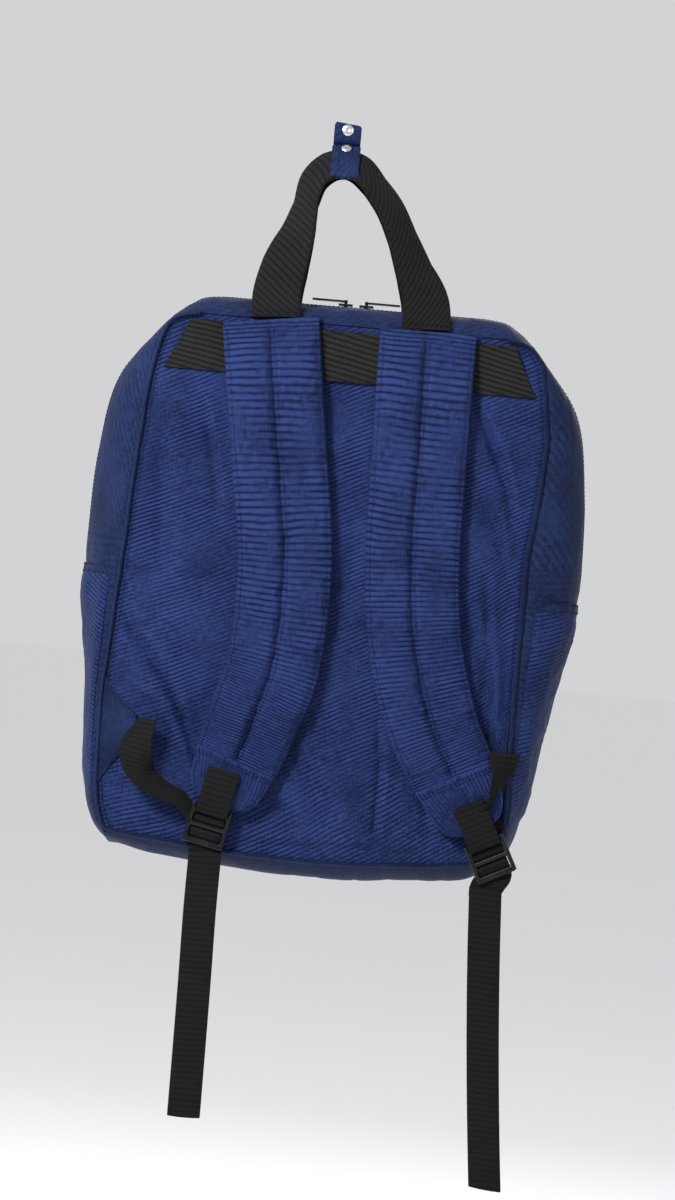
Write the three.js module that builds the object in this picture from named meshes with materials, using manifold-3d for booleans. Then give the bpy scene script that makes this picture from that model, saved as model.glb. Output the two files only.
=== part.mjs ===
// A soft travel backpack hanging by its two carrying handles, harness side towards -Y.
// Millimetres, +Z up. The origin is the point where a hook bears on the underside of the
// handles. Inside the bag group, X = 0 is the bag's middle plane and Z = 0 its lowest point.

import * as THREE from 'three';
import { mergeVertices } from 'three/addons/utils/BufferGeometryUtils.js';
import Module from 'manifold-3d';

const wasm = await Module();
wasm.setup();

// ---------------------------------------------------------------- driving dimensions

const HANG_HEIGHT = 526;         // hook point above the bottom of the bag
const HANG_OFFSET = 18;          // the hook sits this far left of the bag's middle
const BACK_Y = -36;              // outer face of the back panel
const TOP_SEAM_Z = 412;
const BOTTOM_SEAM_Z = 14;
const FABRIC = 1.4;              // thickness of a fabric panel with its lining
const SEAM_GAP = 1.3;            // half the gap that the piping covers at a seam
const PIPING_RADIUS = 1.5;
const FOAM = 6;                  // back panel foam
const LID_HINGE_Z = 238;         // where the front panel folds when the zip is open
const LID_GAP = 1;               // each side of the fold
const BAND_LOW = 369;            // webbing band across the back panel
const BAND_HIGH = 407;
const WEBBING = 1.6;             // thickness of all webbing
const HANDLE_WIDTH = 38;
const HANDLE_THICKNESS = 2.2;
const STRAP_WEBBING_WIDTH = 25;
const TAPE_EDGE = 8.6;           // outer edge of a zip tape from the middle of the zip
const TAPE_INNER = 2.9;
const COIL_OUTER = 2.5;
const COIL_INNER = 0.9;
const COIL_HEIGHT = 1.6;
const POST = 0.8;                // divider of a zip slider, between the two coils
const BUCKLE_WIDTH = 32;
const BUCKLE_LENGTH = 29;
const BUCKLE_DEPTH = 4;
const BUCKLE_Y = -47;            // middle plane of both buckles

// Depth of the bag at height z: [z, y of the front face]
const FRONT_DEPTH = [[0, 60], [200, 60], [238, 57], [412, 30]];

// Matched stations up the right half of the bag, [x, z]: the seam of the back and front
// panels, and the middle line of the gusset between them.
const SEAM = [[147, 14], [154, 42], [156, 90], [156, 145], [156, 195], [156, 240],
  [156, 300], [152, 360], [141, 402], [118, 412], [98, 412], [0, 412]];
const MIDDLE = [[151, 2], [164, 40], [171, 88], [178, 145], [187, 195], [188, 240],
  [187, 298], [178, 358], [148, 397], [126, 420], [98, 428], [0, 428]];
const LAST_STATION = SEAM.length - 1;
const LID_STATION = 5.02;        // gusset halves and zip begin here, just above the fold
const WALL_END_STATION = 4.92;

// Shoulder straps, [x, z] along the middle of each, and [share of length, width]
const LEFT_STRAP = [[-63, 407], [-50, 320], [-37, 231], [-38, 155], [-49, 111], [-60, 75], [-73, 40]];
const RIGHT_STRAP = [[57, 408], [58, 320], [60, 234], [68, 171], [85, 116], [105, 78], [127, 36]];
const STRAP_WIDTH = [[0, 74], [0.6, 71], [0.83, 66], [0.93, 56], [1, 34]];
const FOAM_WIDTH = [[0, 66], [0.6, 64], [1, 54]];
const STRAP_INNER_Y = -38.2;
const STRAP_OUTER_Y = -50;

// ---------------------------------------------------------------- materials

function material(color, roughness, metalness = 0) {
  return new THREE.MeshStandardMaterial({ color, roughness, metalness });
}

const navyFabric = material('#2a3763', 0.55);
const shadedFabric = material('#27304f', 0.6);
const blackWebbing = material('#26262a', 0.8);
const blackPlastic = material('#1d1d20', 0.4);
const greyFoam = material('#6b6f78', 0.95);
const meshLining = material('#1f2a4c', 0.85);
const zipNylon = material('#1a2038', 0.5);
const snapSteel = material('#b9bcc2', 0.3, 1);

// ---------------------------------------------------------------- shape helpers

function turnedOutward(geometry) {
  const points = geometry.attributes.position;
  const index = geometry.index;
  const a = new THREE.Vector3();
  const b = new THREE.Vector3();
  const c = new THREE.Vector3();
  let volume = 0;
  for (let i = 0; i < index.count; i += 3) {
    a.fromBufferAttribute(points, index.getX(i));
    b.fromBufferAttribute(points, index.getX(i + 1));
    c.fromBufferAttribute(points, index.getX(i + 2));
    volume += a.dot(b.cross(c));
  }
  if (volume < 0) {
    for (let i = 0; i < index.count; i += 3) {
      const first = index.getX(i);
      index.setX(i, index.getX(i + 1));
      index.setX(i + 1, first);
    }
  }
  geometry.computeVertexNormals();
  return geometry;
}

function merged(geometry) {
  geometry.deleteAttribute('normal');
  geometry.deleteAttribute('uv');
  return mergeVertices(geometry);
}

// A box whose points are carried to place(u, v, w): u and v run 0..1, w runs -0.5..0.5.
function bentBox(columns, rows, layers, place) {
  const geometry = merged(new THREE.BoxGeometry(1, 1, 1, columns, rows, layers));
  const points = geometry.attributes.position;
  for (let i = 0; i < points.count; i += 1) {
    const target = place(points.getX(i) + 0.5, points.getY(i) + 0.5, points.getZ(i));
    points.setXYZ(i, target.x, target.y, target.z);
  }
  return turnedOutward(geometry);
}

// A sheet of even thickness on a surface(u, v).
function sheet(surface, thickness, columns, rows) {
  const step = 0.004;
  return bentBox(columns, rows, 1, (u, v, w) => {
    const along = surface(Math.min(1, u + step), v).sub(surface(Math.max(0, u - step), v));
    const across = surface(u, Math.min(1, v + step)).sub(surface(u, Math.max(0, v - step)));
    const normal = along.cross(across).normalize();
    return surface(u, v).addScaledVector(normal, w * thickness);
  });
}

// A flat strip along a path. It faces Y, turned about its own path by turn(u).
function ribbon(points, width, thickness, steps, turn = () => 0, facing = new THREE.Vector3(0, 1, 0)) {
  const path = new THREE.CatmullRomCurve3(points.map((point) => new THREE.Vector3(...point)));
  return bentBox(steps, 1, 1, (u, v, w) => {
    const tangent = path.getTangent(u);
    const side = new THREE.Vector3().crossVectors(tangent, facing).normalize();
    const normal = new THREE.Vector3().crossVectors(side, tangent);
    const angle = turn(u);
    const turnedSide = side.clone().multiplyScalar(Math.cos(angle)).addScaledVector(normal, Math.sin(angle));
    const turnedNormal = normal.multiplyScalar(Math.cos(angle)).addScaledVector(side, -Math.sin(angle));
    const wide = typeof width === 'function' ? width(u) : width;
    return path.getPoint(u)
      .addScaledVector(turnedSide, (v - 0.5) * wide)
      .addScaledVector(turnedNormal, w * thickness);
  });
}

// A cord of six sides along a path, with closed ends.
function roundTube(points, radius, steps) {
  const path = new THREE.CatmullRomCurve3(points);
  const section = new THREE.Shape();
  for (let i = 0; i < 6; i += 1) {
    const angle = (i / 6) * 2 * Math.PI;
    const x = radius * Math.cos(angle);
    const y = radius * Math.sin(angle);
    if (i === 0) {
      section.moveTo(x, y);
    } else {
      section.lineTo(x, y);
    }
  }
  const tube = new THREE.ExtrudeGeometry(section, { steps, extrudePath: path, curveSegments: 1 });
  return turnedOutward(merged(tube));
}

// A flat plate of an [x, z] outline, from y = near to y = far.
function plate(outline, near, far) {
  const shape = new THREE.Shape(outline.map(([x, z]) => new THREE.Vector2(x, z)));
  const depth = far - near;
  const geometry = new THREE.ExtrudeGeometry(shape, { depth, bevelEnabled: false });
  geometry.rotateX(Math.PI / 2);
  geometry.translate(0, far, 0);
  return turnedOutward(merged(geometry));
}

// Straight-line interpolation in a list of [position, value] pairs.
function between(pairs, position) {
  let i = 1;
  while (i < pairs.length - 1 && position > pairs[i][0]) {
    i += 1;
  }
  const [start, low] = pairs[i - 1];
  const [end, high] = pairs[i];
  const share = THREE.MathUtils.clamp((position - start) / (end - start), 0, 1);
  return low + share * (high - low);
}

function toSolid(geometry) {
  const source = geometry.index ? geometry : merged(geometry);
  return new wasm.Manifold(new wasm.Mesh({
    numProp: 3,
    vertProperties: new Float32Array(source.attributes.position.array),
    triVerts: new Uint32Array(source.index.array),
  }));
}

function toGeometry(solid) {
  const mesh = solid.getMesh();
  const geometry = new THREE.BufferGeometry();
  geometry.setAttribute('position', new THREE.BufferAttribute(new Float32Array(mesh.vertProperties), 3));
  geometry.setIndex(new THREE.BufferAttribute(new Uint32Array(mesh.triVerts), 1));
  return turnedOutward(geometry);
}

function block(width, depth, height, x = 0, y = 0, z = 0) {
  return toSolid(merged(new THREE.BoxGeometry(width, depth, height).translate(x, y, z)));
}

// ---------------------------------------------------------------- the bag's soft shell

const seamLine = new THREE.SplineCurve(SEAM.map(([x, z]) => new THREE.Vector2(x, z)));
const middleLine = new THREE.SplineCurve(MIDDLE.map(([x, z]) => new THREE.Vector2(x, z)));

function seamAt(station) {
  const point = seamLine.getPoint(station / LAST_STATION);
  point.y = Math.min(point.y, TOP_SEAM_Z);
  return point;
}

function middleAt(station) {
  const point = middleLine.getPoint(station / LAST_STATION);
  point.y = Math.min(point.y, MIDDLE[LAST_STATION][1]);
  return point;
}

function frontY(z) {
  return between(FRONT_DEPTH, z);
}

function halfDepth(z) {
  return (frontY(z) - BACK_Y) / 2;
}

function middleY(z) {
  return (frontY(z) + BACK_Y) / 2;
}

// A point of the gusset: side is -1 left or 1 right, y runs from the back seam to the front.
function gussetPoint(side, station, y, fullness = 1) {
  const seam = seamAt(station);
  const middle = middleAt(station);
  const q = (y - middleY(seam.y)) / halfDepth(seam.y);
  const bulge = fullness * Math.sqrt(Math.max(0, 1 - q * q));
  const x = seam.x + (middle.x - seam.x) * bulge;
  return new THREE.Vector3(side * x, y, seam.y + (middle.y - seam.y) * bulge);
}

function gussetAtAngle(side, station, angle, fullness = 1) {
  const z = seamAt(station).y;
  return gussetPoint(side, station, middleY(z) - halfDepth(z) * Math.cos(angle), fullness);
}

// Carries u = 0..1 over the top of the bag, from the left fold to the right fold.
function overTheTop(u) {
  const side = u < 0.5 ? -1 : 1;
  const station = LAST_STATION - Math.abs(2 * u - 1) * (LAST_STATION - LID_STATION);
  return { side, station };
}

// Half a gusset, from the zip tape back to one panel: face is -1 for the rear, 1 for the lid.
// It runs from share start to share end of the way over the top of the bag.
function upperGusset(face, start, end, columns) {
  return sheet((u, v) => {
    const { side, station } = overTheTop(start + u * (end - start));
    const z = seamAt(station).y;
    const zipAngle = Math.acos((TAPE_EDGE + 0.5) / halfDepth(z));
    const angle = v * zipAngle;
    return gussetAtAngle(side, station, face < 0 ? angle : Math.PI - angle);
  }, FABRIC, columns, 3);
}

// The gusset is sewn from a top strip and two side strips that meet at the upper corners.
const CORNER_SHARE = 0.33;
const CORNER_GAP = 0.0008;

function placeGusset(name, face) {
  const corner = CORNER_SHARE;
  place(`${name}_left`, upperGusset(face, 0, corner - CORNER_GAP, 11), shadedFabric);
  place(`${name}_top`, upperGusset(face, corner + CORNER_GAP, 1 - corner - CORNER_GAP, 10), shadedFabric);
  place(`${name}_right`, upperGusset(face, 1 - corner + CORNER_GAP, 1, 11), shadedFabric);
}

function zipStrip(face, near, far, thickness) {
  return sheet((u, v) => {
    const { side, station } = overTheTop(u);
    const offset = near + v * (far - near);
    return gussetPoint(side, station, middleY(seamAt(station).y) + face * offset);
  }, thickness, 30, 1);
}

// The lower wall stands in from the pocket that covers it.
function wallFullness(station) {
  return between([[0, 1], [0.8, 0.5], [4.3, 0.5], [4.92, 1]], station);
}

function sidePanel(side) {
  return sheet((u, v) => {
    const station = v * WALL_END_STATION;
    return gussetAtAngle(side, station, 0.02 + u * (Math.PI - 0.04), wallFullness(station));
  }, FABRIC, 8, 8);
}

const POCKET_TOP_STATION = 4.3;
const POCKET_BOTTOM_STATION = 1;
const POCKET_EDGE_ANGLE = 0.3;

function pocketPoint(side, u, station) {
  const angle = POCKET_EDGE_ANGLE + u * (Math.PI - 2 * POCKET_EDGE_ANGLE);
  return gussetAtAngle(side, station, angle);
}

function sidePocket(side) {
  const rise = POCKET_TOP_STATION - POCKET_BOTTOM_STATION;
  return sheet((u, v) => pocketPoint(side, u, POCKET_BOTTOM_STATION + v * rise), 1, 8, 6);
}

// The bound edge of a side pocket, standing just above the pocket cloth.
function pocketHem(side) {
  const start = POCKET_TOP_STATION + 0.015;
  return sheet((u, v) => pocketPoint(side, u, start + v * 0.16), 2, 8, 1);
}

function seamHalfWidth(z) {
  return between(SEAM.slice(0, 10).map(([x, height]) => [height, x]), z) - SEAM_GAP;
}

function panelOutline(inset) {
  const right = [];
  for (let station = 0; station <= 9; station += 0.5) {
    const point = seamAt(station);
    const x = point.x - SEAM_GAP - inset;
    const z = THREE.MathUtils.clamp(point.y, BOTTOM_SEAM_Z + SEAM_GAP + inset, TOP_SEAM_Z - SEAM_GAP - inset);
    right.push([x, z]);
  }
  const left = right.map(([x, z]) => [-x, z]).reverse();
  return right.concat(left);
}

function backPanel() {
  return plate(panelOutline(0), BACK_Y, BACK_Y + FABRIC);
}

function backFoam() {
  const near = BACK_Y + FABRIC + 0.4;
  return plate(panelOutline(11), near, near + FOAM);
}

function trimBand() {
  const outline = [[-142, BAND_LOW], [142, BAND_LOW], [122, BAND_HIGH], [-122, BAND_HIGH]];
  return plate(outline, BACK_Y - 0.3 - WEBBING, BACK_Y - 0.3);
}

function frontPanel(low, high, rows) {
  return sheet((u, v) => {
    const z = low + v * (high - low);
    const half = seamHalfWidth(z);
    return new THREE.Vector3((2 * u - 1) * half, frontY(z) - FABRIC / 2, z);
  }, FABRIC, 2, rows);
}

// Flat over its middle, turned up to the seams along both long edges.
function bottomPanel() {
  const middle = middleY(BOTTOM_SEAM_Z);
  const half = halfDepth(BOTTOM_SEAM_Z) - 1.5;
  return sheet((u, v) => {
    const q = 2 * v - 1;
    const turnUp = Math.max(0, (Math.abs(q) - 0.6) / 0.4);
    const z = FABRIC / 2 + (BOTTOM_SEAM_Z - 1) * turnUp * turnUp;
    return new THREE.Vector3((2 * u - 1) * 145, middle + q * half, z);
  }, FABRIC, 2, 10);
}

// Piping along a seam: from and to are stations, negative on the left side, through the
// bottom seam or, with overTop, over the top seam.
function seamRun(fromStation, toStation, overTop) {
  const points = [];
  for (let station = fromStation; station >= 0 && !overTop; station -= 0.5) {
    points.push([-1, station]);
  }
  for (let station = fromStation; station <= LAST_STATION && overTop; station += 0.5) {
    points.push([-1, station]);
  }
  const mirrored = points.map(([, station]) => [1, station]).reverse();
  return points.concat(overTop ? mirrored.slice(1) : mirrored);
}

function piping(run, face) {
  const points = run.map(([side, station]) => {
    const seam = seamAt(station);
    const surface = face < 0 ? BACK_Y : frontY(seam.y);
    const outward = 1 + PIPING_RADIUS;
    return new THREE.Vector3(side * (seam.x - 0.3), surface + face * outward, seam.y);
  });
  return roundTube(points, PIPING_RADIUS, 34);
}

// ---------------------------------------------------------------- harness

function strapPath(points) {
  return new THREE.SplineCurve(points.map(([x, z]) => new THREE.Vector2(x, z)));
}

// One layer of a strap between share = start and end of its length.
function strapLayer(points, start, end, widths, innerY, outerY, steps) {
  const path = strapPath(points);
  return bentBox(steps, 1, 1, (u, v, w) => {
    const share = start + u * (end - start);
    const middle = path.getPoint(share);
    const tangent = path.getTangent(share);
    const offset = (v - 0.5) * between(widths, share);
    const x = middle.x - tangent.y * offset;
    const z = middle.y + tangent.x * offset;
    const y = THREE.MathUtils.lerp(innerY(share), outerY(share), w + 0.5);
    return new THREE.Vector3(x, y, z);
  });
}

// Distance of the strap's two faces from the back panel, by share of its length.
const LINING_Y = [[0, STRAP_INNER_Y], [0.84, STRAP_INNER_Y], [0.91, -45.2], [1, -45.2]];
const COVER_Y = [[0, -42], [0.04, -47], [0.08, STRAP_OUTER_Y], [0.84, STRAP_OUTER_Y], [0.91, -48.4], [1, -48.4]];
const LAYER = 1;

function strapCover(points) {
  const outer = (share) => between(COVER_Y, share);
  return strapLayer(points, 0, 1, STRAP_WIDTH, (share) => outer(share) + LAYER, outer, 18);
}

function strapLining(points) {
  const inner = (share) => between(LINING_Y, share);
  return strapLayer(points, 0, 1, STRAP_WIDTH, inner, (share) => inner(share) - LAYER, 18);
}

function strapFoam(points) {
  const inner = (share) => between(LINING_Y, share) - LAYER - 0.4;
  const outer = (share) => between(COVER_Y, share) + LAYER + 0.4;
  return strapLayer(points, 0.05, 0.83, FOAM_WIDTH, inner, outer, 12);
}

// Webbing sewn on the strap end and folded round the buckle's top bar. Local frame: the bar
// is at the origin, +Z leads up the strap, -Y faces out.
function endWebbing() {
  const loop = 3.3;
  const front = -4.6;
  const back = 4.1;
  const points = [[0, front, 34], [0, front, 22], [0, front, 10], [0, -loop - 0.6, 3],
    [0, -loop * 0.7, -loop * 0.7], [0, 0, -loop], [0, loop * 0.7, -loop * 0.7],
    [0, loop + 0.4, 3], [0, back, 10], [0, back, 16]];
  const path = new THREE.CatmullRomCurve3(points.map((point) => new THREE.Vector3(...point)));
  return bentBox(22, 1, 1, (u, v, w) => {
    const tangent = path.getTangent(u);
    const normal = new THREE.Vector3(0, tangent.z, -tangent.y);
    const point = path.getPoint(u).addScaledVector(normal, w * WEBBING);
    point.x = (v - 0.5) * STRAP_WEBBING_WIDTH;
    return point;
  });
}

// Ladder-lock buckle, in the same local frame: rails, a round-ended top bar, and two bars below.
function buckle() {
  const window = BUCKLE_WIDTH - 6;
  let solid = block(BUCKLE_WIDTH, BUCKLE_DEPTH, BUCKLE_LENGTH, 0, 0, 1.5 - BUCKLE_LENGTH / 2);
  solid = solid.subtract(block(window, 8, 9.5, 0, 0, -6.25));
  solid = solid.subtract(block(window, 8, 9, 0, 0, -18.5));
  solid = solid.subtract(block(window, 2, 8, 0, -2.5, 0));
  solid = solid.subtract(block(window, 2, 8, 0, 2.5, 0));
  return toGeometry(solid);
}

function anchorTab(side) {
  const outline = [[152, 50], [152, 130], [133, 104], [133, 84]];
  const placed = outline.map(([x, z]) => [side * x, z]);
  return plate(placed, BACK_Y - 2, BACK_Y - 0.5);
}

const LEFT_ADJUSTER = [[-128, -39.4, 98], [-133, -43, 88], [-135, -48, 74], [-130, -50, 60],
  [-118, -47, 48], [-104, -42.5, 40], [-92, -39.6, 33], [-84, -39.4, 24], [-80, -40.4, 16]];
const RIGHT_ADJUSTER = [[154, -41.6, 98], [154, -41.8, 86], [152, -42, 74], [146, -42, 62],
  [138, -41.2, 50], [136, -39.8, 38]];

function adjuster(points) {
  return ribbon(points, STRAP_WEBBING_WIDTH - 1, WEBBING, 16);
}

// A free webbing end. The last stretch is folded over and stitched, so it is twice as thick.
const HEM_SHARE = 0.95;

function tail(points) {
  const path = new THREE.CatmullRomCurve3(points.map((point) => new THREE.Vector3(...point)));
  return bentBox(20, 1, 1, (u, v, w) => {
    const thick = u > HEM_SHARE ? 2 * WEBBING : WEBBING;
    const point = path.getPoint(u);
    point.x += (v - 0.5) * STRAP_WEBBING_WIDTH;
    point.y += w * thick;
    return point;
  });
}

const TAIL_Y = BUCKLE_Y;
const LEFT_TAIL = [[-78, TAIL_Y, 3.4], [-78.3, TAIL_Y, -40], [-77.6, TAIL_Y, -95], [-77.2, TAIL_Y, -150],
  [-77, TAIL_Y, -197]];
const RIGHT_TAIL = [[136.5, TAIL_Y, -6], [139.5, TAIL_Y, -55], [144, TAIL_Y, -115], [149.5, TAIL_Y, -175],
  [155.5, TAIL_Y, -232]];

// ---------------------------------------------------------------- handles

// [x, z, turn in degrees] along the handle: flat at the roots, turned edge-on towards the hook.
const HANDLE_LINE = [[-60, 413.5, 0], [-61, 432, 4], [-57, 457, 14], [-50, 485, 42], [-46, 508, 58],
  [-41, 526, 48], [-30, 537, 39], [-18, 540, 36], [-6, 537, 39], [6, 526, 50], [20, 509, 50],
  [31, 488, 50], [42, 463, 40], [53, 436, 14], [55, 413.5, 0]];
const BACK_HANDLE_ROOT_Y = -38.6;
const FRONT_HANDLE_ROOT_Y = 36;
const HANDLE_TOP_Y = 8;
const HANDLE_TOP_Z = 540;
const HANDLE_TOP_TURN = 36;      // degrees that the handles lean over on the hook

function handleTurn(u) {
  const position = u * (HANDLE_LINE.length - 1);
  const pairs = HANDLE_LINE.map(([, , degrees], i) => [i, degrees]);
  return THREE.MathUtils.degToRad(between(pairs, position));
}

function handle(rootY, topY, clearance = 0) {
  const points = HANDLE_LINE.map(([x, z]) => {
    const share = (z - HANDLE_LINE[0][1]) / (HANDLE_TOP_Z - HANDLE_LINE[0][1]);
    return [x, THREE.MathUtils.lerp(rootY, topY, share), z];
  });
  const width = (u) => between([[0, HANDLE_WIDTH], [0.3, 34], [0.5, 28], [0.7, 33], [1, HANDLE_WIDTH]], u);
  return ribbon(points, (u) => width(u) + 2 * clearance, HANDLE_THICKNESS + 2 * clearance, 34, handleTurn);
}

function backHandle(clearance = 0) {
  return handle(BACK_HANDLE_ROOT_Y, -HANDLE_TOP_Y, clearance);
}

// The padded sleeve round the back handle that buttons both handles together. The grip frame
// has the handle's middle at its origin, its width along Z and its thickness along Y.
const WRAP_LENGTH = 19;
const WRAP_HEIGHT = 34;
const WRAP_DEPTH = 7;
const FLAP_HEIGHT = 12;
const FOLD_OFFSET = 3.2;         // the flap's fold stands this far off the sleeve
const SNAP_DROP = 7;             // middle of the snap below the flap's fold

function handleWrap(grip) {
  grip.updateMatrix();
  const sleeve = new THREE.BoxGeometry(WRAP_LENGTH, WRAP_DEPTH, WRAP_HEIGHT).applyMatrix4(grip.matrix);
  return toGeometry(toSolid(merged(sleeve)).subtract(toSolid(backHandle(0.9))));
}

function snapDisc(radius, thickness) {
  const profile = [[0, 0], [radius, 0], [radius, thickness * 0.5], [radius * 0.8, thickness], [0, thickness]];
  const disc = new THREE.LatheGeometry(profile.map(([x, y]) => new THREE.Vector2(x, y)), 12);
  return turnedOutward(merged(disc));
}

function wrapFlap() {
  return toGeometry(block(WRAP_LENGTH - 1, 1.4, FLAP_HEIGHT, 0, 0, FLAP_HEIGHT / 2));
}

// ---------------------------------------------------------------- zip sliders

// Runs along X over coils at z = 0; it is open on both long sides of its divider post.
function zipSlider() {
  const gap = COIL_HEIGHT / 2 + 1;
  const wall = 1.4;
  let solid = block(11, 9, wall, 0, 0, gap + wall / 2);
  solid = solid.add(block(11, 8, wall, 0, 0, -gap - wall / 2));
  solid = solid.add(block(2.4, POST, 2 * gap + 0.4, 0, 0, 0));
  solid = solid.add(block(2.4, 2.2, 3.4, 0, 0, gap + wall + 1.6));
  return toGeometry(solid);
}

const PULL_AXIS = COIL_HEIGHT / 2 + 1 + 1.4 + 2.1;    // above the coils

// A flat pull that straddles the slider's crown. Its pin is at the origin, it lies along +X.
function zipPull(length) {
  let solid = block(length + 1.4, 6.4, 1.3, length / 2 - 0.7, 0, 0);
  solid = solid.subtract(block(4.6, 3.4, 4, 0.8, 0, 0));
  solid = solid.subtract(block(5, 2.4, 4, length - 5, 0, 0));
  return toGeometry(solid);
}

// ---------------------------------------------------------------- front pocket

const POCKET_HALF_WIDTH = 116;
const POCKET_LOW = 34;
const POCKET_HIGH = 196;
const POCKET_ZIP_Z = 205;
const FRONT_Y = FRONT_DEPTH[0][1];

function frontPocketPanel() {
  return sheet((u, v) => {
    const x = (2 * u - 1) * POCKET_HALF_WIDTH;
    const z = POCKET_LOW + v * (POCKET_HIGH - POCKET_LOW);
    const rise = (1 - Math.abs(2 * u - 1) ** 4) * Math.min(1, 3.2 * v, 4 * (1.1 - v));
    return new THREE.Vector3(x, frontY(z) + 1.6 + 6 * rise, z);
  }, 1.2, 10, 8);
}

function pocketTape() {
  const half = POCKET_HALF_WIDTH - 2;
  const outline = [[-half, 198], [half, 198], [half, 212], [-half, 212]];
  return plate(outline, FRONT_Y + 1.2, FRONT_Y + 2.2);
}

function pocketCoil() {
  const half = POCKET_HALF_WIDTH - 6;
  const outline = [[-half, POCKET_ZIP_Z - 1.6], [half, POCKET_ZIP_Z - 1.6],
    [half, POCKET_ZIP_Z + 1.6], [-half, POCKET_ZIP_Z + 1.6]];
  return plate(outline, FRONT_Y + 2.6, FRONT_Y + 4.2);
}

// A shell over the coil, with a crown in front. Local frame: coil along X, +Y faces out.
function pocketSlider() {
  let solid = block(11, 4.6, 9);
  solid = solid.subtract(block(14, 3, 4.4, 0, -1.2, 0));
  solid = solid.add(block(2.2, 3.4, 2.4, 0, 3.6, 0));
  return toGeometry(solid);
}

// Hangs down -Z from its pin at the origin.
function pocketPull() {
  const solid = toSolid(zipPull(26));
  const geometry = toGeometry(solid);
  geometry.rotateX(Math.PI / 2);
  geometry.rotateY(Math.PI / 2);
  return geometry;
}

// ---------------------------------------------------------------- assembly

const bag = new THREE.Group();
bag.position.set(HANG_OFFSET, 0, -HANG_HEIGHT);

function place(name, geometry, finish, parent = bag) {
  const mesh = new THREE.Mesh(geometry, finish);
  mesh.name = name;
  parent.add(mesh);
  return mesh;
}

function addShell() {
  place('back_panel', backPanel(), navyFabric);
  place('back_foam', backFoam(), greyFoam);
  place('trim_band', trimBand(), blackWebbing);
  place('back_piping', piping(seamRun(9, 9, false), -1), shadedFabric);
  place('bottom_panel', bottomPanel(), shadedFabric);
  place('front_lower_panel', frontPanel(BOTTOM_SEAM_Z + 1.4, LID_HINGE_Z - LID_GAP, 6), navyFabric);
  place('front_piping', piping(seamRun(4.9, 4.9, false), 1), shadedFabric);
  placeGusset('rear_gusset', -1);
  place('rear_zip_tape', zipStrip(-1, TAPE_INNER, TAPE_EDGE, 0.8), zipNylon);
  place('rear_zip_coil', zipStrip(-1, COIL_INNER, COIL_OUTER, COIL_HEIGHT), zipNylon);
  for (const [prefix, side] of [['left', -1], ['right', 1]]) {
    place(`${prefix}_side_panel`, sidePanel(side), shadedFabric);
    place(`${prefix}_side_pocket`, sidePocket(side), navyFabric);
    place(`${prefix}_pocket_hem`, pocketHem(side), navyFabric);
    place(`${prefix}_anchor_tab`, anchorTab(side), navyFabric);
  }
}

function addLid() {
  place('lid_panel', frontPanel(LID_HINGE_Z + LID_GAP, TOP_SEAM_Z - 1.2, 5), navyFabric);
  placeGusset('front_gusset', 1);
  place('front_zip_tape', zipStrip(1, TAPE_INNER, TAPE_EDGE, 0.8), zipNylon);
  place('front_zip_coil', zipStrip(1, COIL_INNER, COIL_OUTER, COIL_HEIGHT), zipNylon);
  place('lid_piping', piping(seamRun(5.1, 5.1, true), 1), shadedFabric);
}

function addHandles() {
  place('front_handle', handle(FRONT_HANDLE_ROOT_Y, HANDLE_TOP_Y), blackWebbing);
  place('back_handle', backHandle(), blackWebbing);
  const grip = new THREE.Group();
  grip.position.set(-HANG_OFFSET, -HANDLE_TOP_Y, HANDLE_TOP_Z);
  grip.rotation.x = THREE.MathUtils.degToRad(-HANDLE_TOP_TURN);
  bag.add(grip);
  place('handle_wrap', handleWrap(grip), shadedFabric);
  const foldY = -WRAP_DEPTH / 2 - FOLD_OFFSET;
  const foldZ = WRAP_HEIGHT / 2 + 0.8;
  const stud = place('snap_stud', snapDisc(4, 1.4), snapSteel, grip);
  stud.rotation.x = Math.PI;
  stud.position.set(0, -WRAP_DEPTH / 2 - 0.3, foldZ - SNAP_DROP);
  const standing = new THREE.Group();
  standing.position.set(0, foldY, foldZ);
  standing.rotation.x = -grip.rotation.x;
  grip.add(standing);
  place('wrap_flap', wrapFlap(), shadedFabric, standing);
  const cap = place('snap_cap', snapDisc(4.4, 1.8), snapSteel, standing);
  cap.rotation.x = Math.PI;
  cap.position.set(0, -1, SNAP_DROP);
}

function addStrap(prefix, points, bar, tilt, adjusterPoints, tailPoints) {
  place(`${prefix}_strap_cover`, strapCover(points), navyFabric);
  place(`${prefix}_strap_foam`, strapFoam(points), greyFoam);
  place(`${prefix}_strap_lining`, strapLining(points), meshLining);
  const end = new THREE.Group();
  end.position.set(bar[0], BUCKLE_Y, bar[1]);
  end.rotation.y = THREE.MathUtils.degToRad(tilt);
  bag.add(end);
  place(`${prefix}_end_webbing`, endWebbing(), blackWebbing, end);
  place(`${prefix}_buckle`, buckle(), blackPlastic, end);
  place(`${prefix}_adjuster_webbing`, adjuster(adjusterPoints), blackWebbing);
  place(`${prefix}_webbing_tail`, tail(tailPoints), blackWebbing);
}

function addMainZipSlider(prefix, side) {
  const frame = new THREE.Group();
  frame.position.set(side * 8, middleY(TOP_SEAM_Z), MIDDLE[LAST_STATION][1]);
  bag.add(frame);
  place(`${prefix}_zip_slider`, zipSlider(), blackPlastic, frame);
  const pull = place(`${prefix}_zip_pull`, zipPull(26), blackPlastic, frame);
  pull.position.z = PULL_AXIS;
  pull.rotation.z = side < 0 ? Math.PI : 0;
}

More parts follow.
